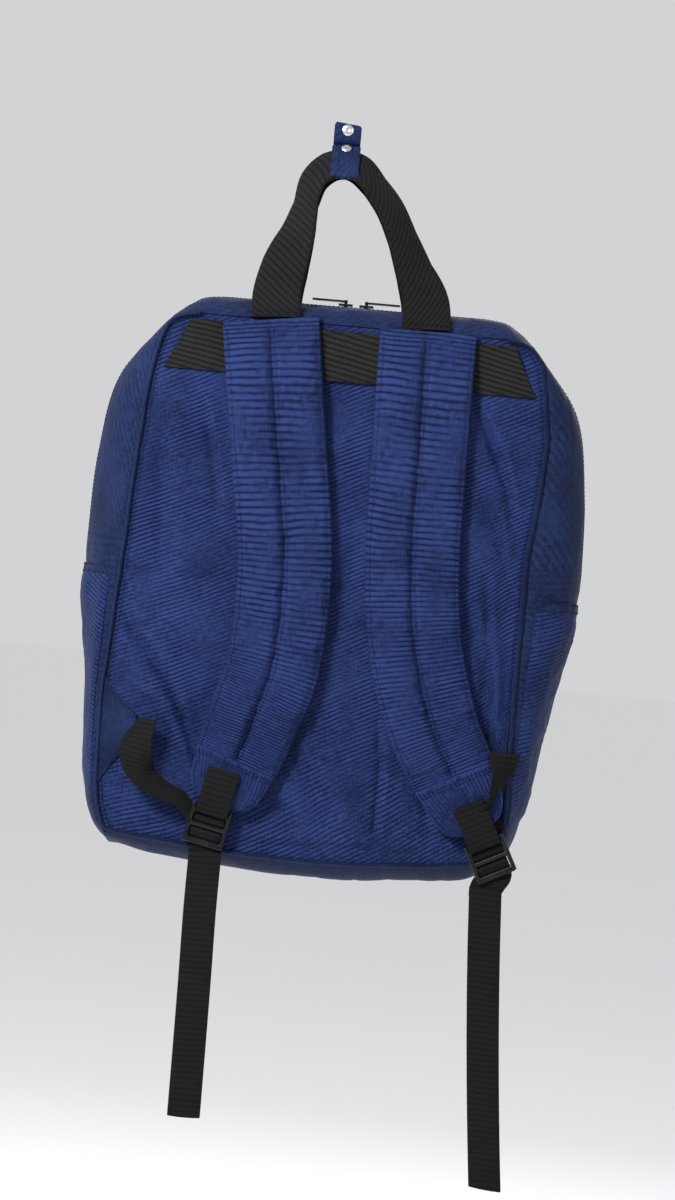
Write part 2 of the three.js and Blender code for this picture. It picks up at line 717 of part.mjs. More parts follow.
function addFrontPocket() {
  place('front_pocket_panel', frontPocketPanel(), navyFabric);
  place('pocket_zip_tape', pocketTape(), zipNylon);
  place('pocket_zip_coil', pocketCoil(), zipNylon);
  const frame = new THREE.Group();
  frame.position.set(-96, FRONT_Y + 4.8, POCKET_ZIP_Z);
  bag.add(frame);
  place('pocket_zip_slider', pocketSlider(), blackPlastic, frame);
  const pull = place('pocket_zip_pull', pocketPull(), blackPlastic, frame);
  pull.position.y = 4;
}

addShell();
addLid();
addHandles();
addStrap('left', LEFT_STRAP, [-75.5, 35], 12, LEFT_ADJUSTER, LEFT_TAIL);
addStrap('right', RIGHT_STRAP, [132.5, 28], -27, RIGHT_ADJUSTER, RIGHT_TAIL);
addMainZipSlider('left', -1);
addMainZipSlider('right', 1);
addFrontPocket();

const backpack = new THREE.Group();
backpack.add(bag);

export default backpack;
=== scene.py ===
"""A navy travel backpack hanging by its webbing handles: its looks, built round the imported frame.

Lengths are millimetres in the bag's own frame (X = 0 its middle plane, Z = 0 its lowest point)
until make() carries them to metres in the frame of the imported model.
"""

import math

import bmesh
import bpy
import numpy as np
from mathutils import Matrix, Vector


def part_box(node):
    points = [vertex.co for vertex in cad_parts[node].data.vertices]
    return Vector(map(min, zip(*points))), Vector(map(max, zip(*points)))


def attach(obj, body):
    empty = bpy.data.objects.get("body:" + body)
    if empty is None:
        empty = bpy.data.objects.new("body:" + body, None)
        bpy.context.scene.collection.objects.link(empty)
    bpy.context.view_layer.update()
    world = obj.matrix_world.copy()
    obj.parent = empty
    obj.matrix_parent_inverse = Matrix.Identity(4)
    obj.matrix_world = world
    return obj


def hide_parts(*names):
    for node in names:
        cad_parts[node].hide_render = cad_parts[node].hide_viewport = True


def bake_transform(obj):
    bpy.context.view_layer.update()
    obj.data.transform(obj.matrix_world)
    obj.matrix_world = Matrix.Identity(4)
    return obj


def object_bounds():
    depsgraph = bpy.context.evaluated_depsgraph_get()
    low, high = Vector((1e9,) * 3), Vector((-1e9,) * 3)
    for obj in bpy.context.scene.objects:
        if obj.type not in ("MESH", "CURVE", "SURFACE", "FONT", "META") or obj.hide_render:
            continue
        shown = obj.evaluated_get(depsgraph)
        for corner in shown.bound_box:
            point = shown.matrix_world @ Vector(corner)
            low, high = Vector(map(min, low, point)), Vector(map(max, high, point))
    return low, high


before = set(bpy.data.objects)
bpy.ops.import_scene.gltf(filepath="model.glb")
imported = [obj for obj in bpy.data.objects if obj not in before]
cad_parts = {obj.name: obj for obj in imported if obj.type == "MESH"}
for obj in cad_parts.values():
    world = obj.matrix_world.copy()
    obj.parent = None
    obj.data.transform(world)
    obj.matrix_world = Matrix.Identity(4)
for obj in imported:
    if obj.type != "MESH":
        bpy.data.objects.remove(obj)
cad_low, cad_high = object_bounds()

MM = 0.001
base_low, base_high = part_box("bottom_panel")
ORIGIN = np.array([(base_low.x + base_high.x) / 2, 0, base_low.z])

# ---------------------------------------------------------------- driving dimensions

BACK_Y = -36                     # outer face of the back panel
FOAM_Y = -25.8                   # middle of the back panel's foam
TOP_SEAM_Z = 412
BOTTOM_SEAM_Z = 14
FABRIC = 1.4
POCKET_CLOTH = 1.1
PIPING_RADIUS = 1.5
STITCH_PITCH = 3.4
SHARP_ANGLE = 40                 # degrees between two faces from which their edge stays sharp
FOLD_INTO_BAG = 6.4              # how far the back panel's folds may go in and stand out
FOLD_OUT_OF_BAG = 6.0
UNDER_STRAPS = 0.7               # how far the panel may stand out where a strap lies on it
BAND_LOW = 369
BAND_HIGH = 407
WEBBING = 1.6
STRAP_WEBBING_WIDTH = 25
HANDLE_THICKNESS = 2.2
TAPE_EDGE = 8.6
TAPE_INNER = 2.2
TOOTH_PITCH = 1.6
BUCKLE_Y = -47

# Y of the front panel by height; then the seam and the gusset's middle as [x, z] points up the
# right side. A station is a place along those points, counted from 0.
FRONT_DEPTH = [[0, 60], [200, 60], [238, 57], [412, 30]]
SEAM = [[147, 14], [154, 42], [156, 90], [156, 145], [156, 195], [156, 240],
        [156, 300], [152, 360], [141, 402], [118, 412], [98, 412], [0, 412]]
MIDDLE = [[151, 2], [164, 40], [171, 88], [178, 145], [187, 195], [188, 240],
          [187, 298], [178, 358], [148, 397], [126, 420], [98, 428], [0, 428]]
LAST_STATION = len(SEAM) - 1
# how much wider than in CAD the gusset stands, by station
LEFT_SLACK = [[0, -10], [0.3, 0], [0.8, 8], [1.5, 10], [3, 8], [4, 6], [5, 3.5], [6, 2], [7, 0]]
RIGHT_SLACK = [[0, -8], [0.3, 0], [0.8, 3], [2, 3], [4, 4], [5, 4], [6, 2], [7, 0]]
BOTTOM_SAG = 12
# how far the rear seam hangs to the left of its CAD place, by height, on each side of the bag
LEFT_SHIFT = [[-20, 11], [120, 12], [230, 5], [320, 0]]
RIGHT_SHIFT = [[-20, 3], [20, 6], [80, 10], [250, 9], [335, 0]]
FOLD_STATION = 5.0
FOLD_SLIT = 0.07                 # half the gap between the two lengths of front piping, in stations
CORNER_STATION = 9               # where the seam reaches its full height
POCKET_BOTTOM_STATION = 1.0
POCKET_TOP_STATION = 4.3

POCKET_HALF_WIDTH = 116          # the front pocket
POCKET_LOW = 34
POCKET_HIGH = 196
POCKET_ZIP_Z = 205
FRONT_Y = FRONT_DEPTH[0][1]

# Straps: [x, z] along the middle, then width and the Y of both faces by share of the length.
LEFT_STRAP = [[-63, 407], [-50, 320], [-37, 231], [-38, 155], [-49, 111], [-60, 75], [-73, 40]]
RIGHT_STRAP = [[57, 408], [58, 320], [60, 234], [68, 171], [85, 116], [105, 78], [127, 36]]
STRAP_WIDTH = [[0, 74], [0.6, 71], [0.83, 66], [0.93, 56], [1, 34]]
LINING_Y = [[0, -38.2], [0.84, -38.2], [0.91, -45.2], [1, -45.2]]
COVER_Y = [[0, -43.5], [0.04, -48], [0.08, -50], [0.8, -50], [0.855, -48.4], [1, -48.4]]
PAD_END = 0.84
STRAP_LENGTH = 385
STITCH_ROW = 0.058               # share of the strap's half width between its middle and a stitch row

LEFT_ADJUSTER = [[-133, -39.4, 100], [-136, -43, 88], [-137, -48, 74], [-131, -50, 60],
                 [-117, -47, 49], [-101, -42.5, 42], [-91, -39.6, 34], [-84, -39.4, 25], [-80, -40.4, 16]]
RIGHT_ADJUSTER = [[142, -41.6, 98], [141.5, -44, 86], [140, -47, 74], [138, -46.5, 62],
                  [136.5, -43, 50], [136, -39.8, 38]]
# degrees the adjusters turn about those paths, by share of the length
LEFT_TURNS = [[0, -38], [0.15, -30], [0.3, 10], [0.42, 50], [0.6, 64], [0.8, 60], [0.93, 25], [1, 0]]
RIGHT_TURNS = [[0, 0], [0.25, 52], [0.6, 64], [0.85, 30], [1, 0]]
LEFT_TAIL = [[-78, -47, 3.4], [-78.3, -47, -40], [-77.6, -47, -95], [-77.2, -47, -150], [-77, -47, -197]]
RIGHT_TAIL = [[136.5, -47, -6], [139.5, -47, -55], [144, -47, -115], [149.5, -47, -175], [155.5, -47, -232]]

HANDLE_LINE = [[-60, 413.5, 0], [-61, 432, 4], [-57, 457, 14], [-50, 485, 42], [-46, 508, 58],
               [-41, 526, 48], [-30, 537, 39], [-18, 540, 36], [-6, 537, 39], [6, 526, 50], [20, 509, 50],
               [31, 488, 50], [42, 463, 40], [53, 436, 14], [55, 413.5, 0]]
HANDLE_WIDTH = [[0, 38], [0.3, 34], [0.5, 28], [0.7, 33], [1, 38]]
BACK_ROOT_Y = -38.6
FRONT_ROOT_Y = 36
HANDLE_TOP_Y = 8

# ---------------------------------------------------------------- curves and noise


def between(pairs, position):
    """Straight-line interpolation in a list of [position, value] pairs."""
    return np.interp(position, [pair[0] for pair in pairs], [pair[1] for pair in pairs])


def spline(points, share):
    """Points at shares 0..1 of a uniform Catmull-Rom curve."""
    points = np.asarray(points, float)
    position = np.clip(np.asarray(share, float), 0, 1) * (len(points) - 1)
    start = np.minimum(position.astype(int), len(points) - 2)
    t = (position - start)[..., None]
    before = points[np.maximum(start - 1, 0)]
    first = points[start]
    second = points[start + 1]
    after = points[np.minimum(start + 2, len(points) - 1)]
    leave = (second - before) / 2
    arrive = (after - first) / 2
    cubic = 2 * first - 2 * second + leave + arrive
    square = -3 * first + 3 * second - 2 * leave - arrive
    return cubic * t**3 + square * t**2 + leave * t + first


def curve(points, share):
    """Points at shares 0..1 of a centripetal Catmull-Rom curve, which keeps clear of loops."""
    points = np.asarray(points, float)
    ends = np.vstack([2 * points[0] - points[1], points, 2 * points[-1] - points[-2]])
    position = np.clip(np.asarray(share, float), 0, 1) * (len(points) - 1)
    start = np.minimum(position.astype(int), len(points) - 2)
    t = (position - start)[..., None]
    p0, p1, p2, p3 = (ends[start + k] for k in range(4))
    gap0, gap1, gap2 = (np.linalg.norm(b - a, axis=-1)[..., None] ** 0.5
                        for a, b in ((p0, p1), (p1, p2), (p2, p3)))
    leave = gap1 * ((p1 - p0) / gap0 - (p2 - p0) / (gap0 + gap1) + (p2 - p1) / gap1)
    arrive = gap1 * ((p2 - p1) / gap1 - (p3 - p1) / (gap1 + gap2) + (p3 - p2) / gap2)
    cubic = 2 * p1 - 2 * p2 + leave + arrive
    square = -3 * p1 + 3 * p2 - 2 * leave - arrive
    return cubic * t**3 + square * t**2 + leave * t + p1


def tangents(points):
    steps = np.gradient(points, axis=0)
    return steps / np.linalg.norm(steps, axis=1, keepdims=True)


LATTICE = np.random.default_rng(635).uniform(-1, 1, (64, 64, 64))


def noise(points, size):
    """Smooth values from about -1 to 1, in lumps of the given size in mm along X, Y and Z."""
    scaled = np.asarray(points, float) / np.asarray(size, float)
    corner = np.floor(scaled).astype(int)
    inside = scaled - corner
    inside = inside**3 * (inside * (inside * 6 - 15) + 10)
    total = np.zeros(scaled.shape[:-1])
    for dx in (0, 1):
        for dy in (0, 1):
            for dz in (0, 1):
                weight = np.ones(scaled.shape[:-1])
                for axis, step in enumerate((dx, dy, dz)):
                    weight = weight * (inside[..., axis] if step else 1 - inside[..., axis])
                cell = (corner + (dx, dy, dz)) % len(LATTICE)
                total += weight * LATTICE[cell[..., 0], cell[..., 1], cell[..., 2]]
    return total


def ridges(points, size):
    """Sharp-crested wrinkles: 1 on a crest, falling towards 0 between them."""
    return (1 - np.abs(noise(points, size))) ** 4


def crease(flat, line, width, height):
    """Height of one fold along a smooth line in the plane, fading out at both ends."""
    share = np.linspace(0, 1, 48)
    samples = spline(line, share)
    gaps = np.linalg.norm(flat[..., None, :] - samples, axis=-1)
    along = share[gaps.argmin(-1)]
    fade = np.sin(np.pi * np.clip(along, 0.01, 0.99)) ** 0.7
    return height * fade / (1 + (gaps.min(-1) / width) ** 2)


def smooth_step(low, high, value):
    share = np.clip((value - low) / (high - low), 0, 1)
    return share * share * (3 - 2 * share)


# ---------------------------------------------------------------- meshes


def spread(down, across):
    """Grids of two coordinates, each given as its first value, last value and count."""
    return np.meshgrid(np.linspace(*down), np.linspace(*across), indexing="ij")


def full_turn(count):
    """Angles at even steps round a circle."""
    return np.arange(count) / count * 2 * math.pi


def grid_faces(rows, columns, wrap=False):
    """Quads of a grid of points; wrap joins the last column to the first."""
    i, j = np.meshgrid(np.arange(rows - 1), np.arange(columns if wrap else columns - 1), indexing="ij")
    after = (j + 1) % columns
    corners = [i * columns + j, i * columns + after, (i + 1) * columns + after, (i + 1) * columns + j]
    return np.stack(corners, -1).reshape(-1, 4)


def normals_of(grid):
    normal = np.cross(np.gradient(grid, axis=1), np.gradient(grid, axis=0))
    return normal / np.maximum(np.linalg.norm(normal, axis=-1, keepdims=True), 1e-9)


def lengths(points, axis):
    """Distance run along one axis of a grid of points."""
    steps = np.linalg.norm(np.diff(points, axis=axis), axis=-1)
    start = np.zeros_like(np.take(steps, [0], axis=axis))
    return np.cumsum(np.concatenate([start, steps], axis=axis), axis=axis)


def shell(grid, thickness, cloth=None):
    """A sheet of even thickness whose middle surface is a grid of points.

    cloth gives each point's place on the flat cloth; without it, that is measured along the grid.
    """
    rows, columns = grid.shape[:2]
    offset = normals_of(grid) * thickness / 2
    vertices = np.concatenate([(grid + offset).reshape(-1, 3), (grid - offset).reshape(-1, 3)])
    count = rows * columns
    front = grid_faces(rows, columns)
    back = front[:, ::-1] + count
    rim = np.concatenate([
        np.arange(columns),
        np.arange(1, rows) * columns + columns - 1,
        np.arange(columns - 2, -1, -1) + (rows - 1) * columns,
        np.arange(rows - 2, 0, -1) * columns,
    ])
    ahead = np.roll(rim, -1)
    edge = np.stack([ahead, rim, rim + count, ahead + count], -1)
    if cloth is None:
        across = lengths(grid, 1)
        across = across - across.mean(axis=1, keepdims=True)
        cloth = np.stack([across, lengths(grid, 0)], -1)
    uv = cloth.reshape(-1, 2)
    return vertices, np.concatenate([front, back, edge]).tolist(), np.concatenate([uv, uv])


def tube(rings):
    """A closed form through rings of points, with flat ends."""
    count, around = rings.shape[:2]
    faces = grid_faces(count, around, wrap=True).tolist()
    faces.append(list(range(around - 1, -1, -1)))
    faces.append(list(range((count - 1) * around, count * around)))
    girth = lengths(rings, 1)
    uv = np.stack([girth, lengths(rings, 0)], -1)
    return rings.reshape(-1, 3), faces, uv.reshape(-1, 2)


def joined(parts):
    """Several closed forms as one."""
    vertices, faces, uvs = [], [], []
    start = 0
    for part_vertices, part_faces, part_uvs in parts:
        faces.extend([[index + start for index in face] for face in part_faces])
        vertices.append(part_vertices)
        uvs.append(part_uvs)
        start += len(part_vertices)
    return np.concatenate(vertices), faces, np.concatenate(uvs)


def hung(points):
    """The rear of the bag, which hangs a little to the left low down, between seam and outline."""
    x, y, z = np.moveaxis(points, -1, 0)
    shift = np.where(x < 0, between(LEFT_SHIFT, z), between(RIGHT_SHIFT, z))
    near_seam = smooth_step(112, 150, np.abs(x)) * (1 - smooth_step(154, 190, np.abs(x)))
    at_back = 1 - smooth_step(40, 90, y - BACK_Y)
    return points - (shift * near_seam * at_back)[..., None] * np.array([1, 0, 0])


def make(name, form, material, body=None, stands_for=()):
    """A Blender object of a form in bag millimetres. It rides on body, unless body is None.

    Cloth on the bag hangs with the rear seam. Webbing and buckles keep their places.
    """
    vertices, faces, uvs = form
    vertices = np.asarray(vertices, float)
    if body in (None, "bag", "lid") and material not in (webbing, plastic):
        vertices = hung(vertices)
    mesh = bpy.data.meshes.new(name)
    mesh.from_pydata((vertices * MM + ORIGIN).tolist(), [], faces)
    corners = np.zeros(len(mesh.loops), int)
    mesh.loops.foreach_get("vertex_index", corners)
    layer = mesh.uv_layers.new(name="UVMap")
    layer.data.foreach_set("uv", (np.asarray(uvs)[corners] * MM).ravel())
    turn_outward(mesh)
    mesh.shade_smooth()
    mesh.set_sharp_from_angle(angle=math.radians(SHARP_ANGLE))
    made = bpy.data.objects.new(name, mesh)
    bpy.context.scene.collection.objects.link(made)
    mesh.materials.append(material)
    if stands_for:
        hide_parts(*stands_for)
    if body:
        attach(made, body)
    return made


def stand_in(node, form, material, body):
    """A piece that takes the place of the CAD node of the same name."""
    return make(node, form, material, body, [node])


def turn_outward(mesh):
    work = bmesh.new()
    work.from_mesh(mesh)
    bmesh.ops.recalc_face_normals(work, faces=work.faces)
    work.to_mesh(mesh)
    work.free()


def web_profile(width, thickness, bow=0.0, around=8):
    """Outline of webbing cut across: [side, normal] pairs, with round edges."""
    half = (width - thickness) / 2
    radius = thickness / 2
    flat = np.linspace(-half, half, around)
    turn = np.linspace(-90, 90, 5)[1:-1] * math.pi / 180
    lower = np.stack([flat, np.full(around, -radius)], -1)
    right = np.stack([half + radius * np.cos(turn), radius * np.sin(turn)], -1)
    outline = np.concatenate([lower, right, -lower, -right])
    outline[:, 1] += bow * ((outline[:, 0] / (width / 2)) ** 2 - 0.4)
    return outline


def sweep(points, sides, normals, profiles):
    """A form whose cut at each point of a path is the profile there, in [side, normal] pairs."""
    rings = [point + np.outer(profile[:, 0], side) + np.outer(profile[:, 1], normal)
             for point, side, normal, profile in zip(points, sides, normals, profiles)]
    return tube(np.array(rings))


def facing_sides(points, facing):
    """Side and normal directions of a strip along a path that faces a fixed direction."""
    along = tangents(points)
    side = np.cross(along, np.asarray(facing, float))
    side = side / np.linalg.norm(side, axis=1, keepdims=True)
    return side, np.cross(side, along)


def at_lengths(points, marks, values=None):
    """Points of a path, or values given at its points, at distances run along it."""
    run = lengths(points[None], 1)[0]
    values = points if values is None else values
    return np.stack([np.interp(marks, run, values[:, k]) for k in range(3)], -1)


def even_marks(points, pitch):
    total = lengths(points[None], 1)[0, -1]
    return np.linspace(0, total, max(2, int(total / pitch) + 1))


def resampled(points, pitch):
    """The same path with points at an even pitch."""
    return at_lengths(points, even_marks(points, pitch))


def stitches(points, normal, pitch=STITCH_PITCH, radius=0.42):
    """A row of separate sewn stitches lying on a surface along a path."""
    places = even_marks(points, pitch)
    marks = at_lengths(points, places)
    along = tangents(marks)
    normal = np.broadcast_to(np.asarray(normal, float), points.shape)
    normal = at_lengths(points, places, normal)
    side = np.cross(along, normal)
    side = side / np.linalg.norm(side, axis=1, keepdims=True)
    ring_places = np.array([-1, -0.75, 0, 0.75, 1]) * pitch * 0.36
    ring_sizes = np.array([0.25, 0.85, 1, 0.85, 0.25]) * radius
    turn = full_turn(6)
    parts = []
    for mark, forward, across, up in zip(marks, along, side, normal):
        ring = np.cos(turn)[:, None] * across + np.sin(turn)[:, None] * up * 0.8
        rings = mark + forward * ring_places[:, None, None] + ring * ring_sizes[:, None, None]
        parts.append(tube(rings))
    return joined(parts)


def lathe(profile, around=32):
    """A turned form round Z from [radius, z] pairs; both ends of the profile are flat discs."""
    turn = full_turn(around)
    rings = [np.stack([r * np.cos(turn), r * np.sin(turn), np.full(around, z)], -1) for r, z in profile]
    return tube(np.array(rings))


def placed(form, matrix):
    """A form carried by a 4x4 matrix in bag millimetres."""
    vertices, faces, uvs = form
    matrix = np.array(matrix, float)
    return vertices @ matrix[:3, :3].T + matrix[:3, 3], faces, uvs


def modified(made, kind, **settings):
    modifier = made.modifiers.new(kind.title(), kind)
    for key, value in settings.items():
        setattr(modifier, key, value)
    return modifier


# ---------------------------------------------------------------- materials


def link(tree, source, target):
    tree.links.new(source, target)


def math_node(tree, operation, first, second=None):
    made = tree.nodes.new("ShaderNodeMath")
    made.operation = operation
    for socket, value in zip(made.inputs, (first, second)):
        if value is None:
            continue
        if isinstance(value, (int, float)):
            socket.default_value = value
        else:
            link(tree, value, socket)
    return made.outputs[0]


def weighted(tree, terms):
    """The sum of value sockets, each times its own number."""
    total = None
    for value, weight in terms:
        term = math_node(tree, "MULTIPLY", value, weight)
        total = term if total is None else math_node(tree, "ADD", total, term)
    return total


def surface_place(tree):
    """U and V sockets, in metres along the cloth."""
    place = tree.nodes.new("ShaderNodeUVMap")
    place.uv_map = "UVMap"
    split = tree.nodes.new("ShaderNodeSeparateXYZ")
    link(tree, place.outputs["UV"], split.inputs[0])
    return split.outputs["X"], split.outputs["Y"]


def object_noise(tree, size, detail=2.0, stretch=(1, 1, 1)):
    """Noise from 0 to 1 in lumps of about size millimetres, fixed to the object."""
    place = tree.nodes.new("ShaderNodeTexCoord")
    mapping = tree.nodes.new("ShaderNodeMapping")
    mapping.inputs["Scale"].default_value = [1 / (size * MM * s) for s in stretch]
    texture = tree.nodes.new("ShaderNodeTexNoise")
    texture.inputs["Scale"].default_value = 1.0
    texture.inputs["Detail"].default_value = detail
    link(tree, place.outputs["Object"], mapping.inputs["Vector"])
    link(tree, mapping.outputs["Vector"], texture.inputs["Vector"])
    return texture.outputs["Fac"]


def cloth_noise(tree, u, v, width, height):
    """Noise from 0 to 1 laid along the cloth, in lumps of width by height millimetres."""
    place = tree.nodes.new("ShaderNodeCombineXYZ")
    link(tree, math_node(tree, "MULTIPLY", u, 1 / (width * MM)), place.inputs["X"])
    link(tree, math_node(tree, "MULTIPLY", v, 1 / (height * MM)), place.inputs["Y"])
    texture = tree.nodes.new("ShaderNodeTexNoise")
    texture.inputs["Scale"].default_value = 1.0
    texture.inputs["Detail"].default_value = 1.0
    link(tree, place.outputs[0], texture.inputs["Vector"])
    return texture.outputs["Fac"]


def wave(tree, position, pitch, offset=None):
    """A sine of -1 to 1 that repeats every pitch millimetres of a position in metres."""
    turns = math_node(tree, "MULTIPLY", position, 2 * math.pi / (pitch * MM))
    if offset is not None:
        turns = math_node(tree, "ADD", turns, offset)
    return math_node(tree, "SINE", turns)


def ribs(tree, u, v, angle, pitch, wander):
    """Bands across the cloth at an angle, which wander by a few radians as woven ribs do."""
    slope = math.radians(angle)
    across = weighted(tree, [(u, -math.sin(slope)), (v, math.cos(slope))])
    drift = math_node(tree, "MULTIPLY", object_noise(tree, 60), wander)
    trough = weighted(tree, [(wave(tree, across, pitch, drift), 0.5)])
    trough = math_node(tree, "POWER", math_node(tree, "ADD", trough, 0.5), 2.5)
    return math_node(tree, "SUBTRACT", 0.4, trough)


def new_material(name):
    material = bpy.data.materials.new(name)
    material.use_nodes = True
    tree = material.node_tree
    return material, tree, tree.nodes["Principled BSDF"]


def colour_mix(tree, factor, dark, light):
    ramp = tree.nodes.new("ShaderNodeMix")
    ramp.data_type = "RGBA"
    ramp.clamp_factor = True
    ramp.inputs["A"].default_value = (*dark, 1)
    ramp.inputs["B"].default_value = (*light, 1)
    link(tree, factor, ramp.inputs["Factor"])
    return ramp.outputs["Result"]


def bump(tree, height, distance, shader):
    """Relief of height -1..1 times distance, in millimetres."""
    made = tree.nodes.new("ShaderNodeBump")
    made.inputs["Distance"].default_value = distance * MM
    link(tree, height, made.inputs["Height"])
    link(tree, made.outputs["Normal"], shader.inputs["Normal"])


def woven(name, dark, light, weave_pitch, rib_angle, rib_pitch, rib_share, roughness=0.55):
    """Woven cloth: crossed threads, ribs that catch the light, uneven dye and a slight sheen."""
    material, tree, shader = new_material(name)
    u, v = surface_place(tree)
    threads = math_node(tree, "MULTIPLY", wave(tree, u, weave_pitch), wave(tree, v, weave_pitch))
    bands = ribs(tree, u, v, rib_angle, rib_pitch, 9)
    patches = object_noise(tree, 45, 3)
    warp = cloth_noise(tree, u, v, 1.3, 7)
    weft = cloth_noise(tree, u, v, 7, 1.3)
    strength = weighted(tree, [(cloth_noise(tree, u, v, 26, 40), 0.75)])
    strength = math_node(tree, "MAXIMUM", math_node(tree, "SUBTRACT", strength, 0.2), 0.0)
    broken = math_node(tree, "MULTIPLY", bands, strength)
    terms = [(threads, 0.35), (broken, rib_share), (patches, 1.1), (warp, 1.0), (weft, 1.1)]
    factor = math_node(tree, "SUBTRACT", weighted(tree, terms), 1.15)
    link(tree, colour_mix(tree, factor, dark, light), shader.inputs["Base Color"])
    height = weighted(tree, [(threads, 0.7), (broken, rib_share), (warp, 0.9), (weft, 1.1)])
    bump(tree, height, 0.3, shader)
    rough = weighted(tree, [(patches, 0.18), (bands, 0.05)])
    link(tree, math_node(tree, "ADD", rough, roughness - 0.09), shader.inputs["Roughness"])
    shader.inputs["Specular IOR Level"].default_value = 0.15
    shader.inputs["Specular Tint"].default_value = (0.4, 0.55, 1.0, 1)
    shader.inputs["Sheen Weight"].default_value = 0.02
    shader.inputs["Sheen Roughness"].default_value = 0.4
    shader.inputs["Sheen Tint"].default_value = (0.45, 0.55, 1.0, 1)
    return material


def ribbed_webbing(name, dark, light, rib_angle=0, rib_share=0.35, rib_pitch=1.5):
    """Webbing: fine ribs across it, coarser twill bands, matt polyester."""
    material, tree, shader = new_material(name)
    u, v = surface_place(tree)
    picks = wave(tree, v, rib_pitch)
    ends = wave(tree, u, 2.0)
    twill = ribs(tree, u, v, rib_angle, 4.2, 4)
    grain = cloth_noise(tree, u, v, 3, 0.9)
    patches = object_noise(tree, 30)
    woven_threads = math_node(tree, "MULTIPLY", picks, ends)
    factor = weighted(tree, [(woven_threads, 0.25), (twill, rib_share), (grain, 0.9), (patches, 0.4)])
    factor = math_node(tree, "SUBTRACT", factor, 0.2)
    link(tree, colour_mix(tree, factor, dark, light), shader.inputs["Base Color"])
    height = weighted(tree, [(woven_threads, 1.0), (twill, 3 * rib_share), (grain, 0.5)])
    bump(tree, height, 0.25, shader)
    shader.inputs["Roughness"].default_value = 0.78
    shader.inputs["Specular IOR Level"].default_value = 0.06
    shader.inputs["Sheen Weight"].default_value = 0.01
    shader.inputs["Sheen Roughness"].default_value = 0.5
    return material


def moulded(name, colour, roughness):
    """Moulded plastic with a faint orange-peel skin and scuffs."""
    material, tree, shader = new_material(name)
    skin = object_noise(tree, 0.8, 2)
    scuff = object_noise(tree, 9, 3)
    light = tuple(min(1, c * 1.7 + 0.004) for c in colour)
    link(tree, colour_mix(tree, scuff, colour, light), shader.inputs["Base Color"])
    bump(tree, skin, 0.03, shader)
    rough = math_node(tree, "ADD", math_node(tree, "MULTIPLY", scuff, 0.2), roughness - 0.1)
    link(tree, rough, shader.inputs["Roughness"])
    shader.inputs["Specular IOR Level"].default_value = 0.2
    return material


def plated(name, colour):
    """Bright plated metal with fine brushing."""
    material, tree, shader = new_material(name)
    brushed = object_noise(tree, 0.5, 2, (1, 1, 8))
    dark = tuple(c * 0.8 for c in colour)
    link(tree, colour_mix(tree, brushed, dark, colour), shader.inputs["Base Color"])
    rough = math_node(tree, "ADD", math_node(tree, "MULTIPLY", brushed, 0.12), 0.2)
    link(tree, rough, shader.inputs["Roughness"])
    bump(tree, brushed, 0.01, shader)
    shader.inputs["Metallic"].default_value = 1.0
    return material


def foamed(name, colour):
    """Closed-cell foam: fine pits all over, with painted shade darkening the pits."""
    material, tree, shader = new_material(name)
    cells = tree.nodes.new("ShaderNodeTexVoronoi")
    place = tree.nodes.new("ShaderNodeTexCoord")
    cells.inputs["Scale"].default_value = 900
    link(tree, place.outputs["Object"], cells.inputs["Vector"])
    pits = cells.outputs["Distance"]
    # painted shade: the colour is darker in each pit
    dark = tuple(c * 0.7 for c in colour)
    link(tree, colour_mix(tree, pits, dark, colour), shader.inputs["Base Color"])
    bump(tree, pits, 0.2, shader)
    shader.inputs["Roughness"].default_value = 0.95
    return material


def sewing_thread(name, colour):
    material, tree, shader = new_material(name)
    twist = object_noise(tree, 0.5, 1)
    light = tuple(c * 1.5 for c in colour)
    link(tree, colour_mix(tree, twist, colour, light), shader.inputs["Base Color"])
    bump(tree, twist, 0.1, shader)
    shader.inputs["Roughness"].default_value = 0.7
    shader.inputs["Specular IOR Level"].default_value = 0.1
    return material


NAVY_DARK = (0.0015, 0.003, 0.017)
NAVY_LIGHT = (0.015, 0.026, 0.098)
# The navy cloth's colours again, made darker: painted shade for the cloth of the sides, top, bottom and
# piping and for the strap lining, which face away from the light.
PAINTED_SHADE_DARK = (0.0015, 0.003, 0.013)
PAINTED_SHADE_LIGHT = (0.012, 0.020, 0.066)
WEB_DARK = (0.0015, 0.0015, 0.002)
WEB_LIGHT = (0.010, 0.010, 0.011)

panel_cloth = woven("panel_cloth", NAVY_DARK, NAVY_LIGHT, 1.5, 27, 3.1, 4.6)
strap_cloth = woven("strap_cloth", NAVY_DARK, NAVY_LIGHT, 1.5, 2, 3.9, 4.4)
strap_end_cloth = woven("strap_end_cloth", NAVY_DARK, NAVY_LIGHT, 1.5, 80, 3.4, 2.4)
# The cloth of the sides, top, bottom, piping, tabs and handle wrap, and the strap lining: the navy with
# painted shade.
painted_shade_cloth = woven("painted_shade_cloth", PAINTED_SHADE_DARK, PAINTED_SHADE_LIGHT, 1.5, 30, 4.5, 1.6)
painted_shade_lining_cloth = woven("painted_shade_lining_cloth", PAINTED_SHADE_DARK, PAINTED_SHADE_LIGHT, 1.2, 0, 3.0, 0.6, 0.7)
webbing = ribbed_webbing("webbing", WEB_DARK, WEB_LIGHT)
handle_webbing = ribbed_webbing("handle_webbing", WEB_DARK, (0.013, 0.013, 0.014), 42, 0.5)
band_webbing = ribbed_webbing("band_webbing", (0.003, 0.003, 0.003), (0.017, 0.0165, 0.0165), -12, 0.8)
zip_cloth = ribbed_webbing("zip_cloth", (0.002, 0.003, 0.010), (0.008, 0.012, 0.036), 0, 0.1, 1.0)
zip_teeth = moulded("zip_teeth", (0.003, 0.005, 0.018), 0.4)
plastic = moulded("plastic", (0.0012, 0.0012, 0.0015), 0.3)
steel = plated("steel", (0.62, 0.63, 0.65))
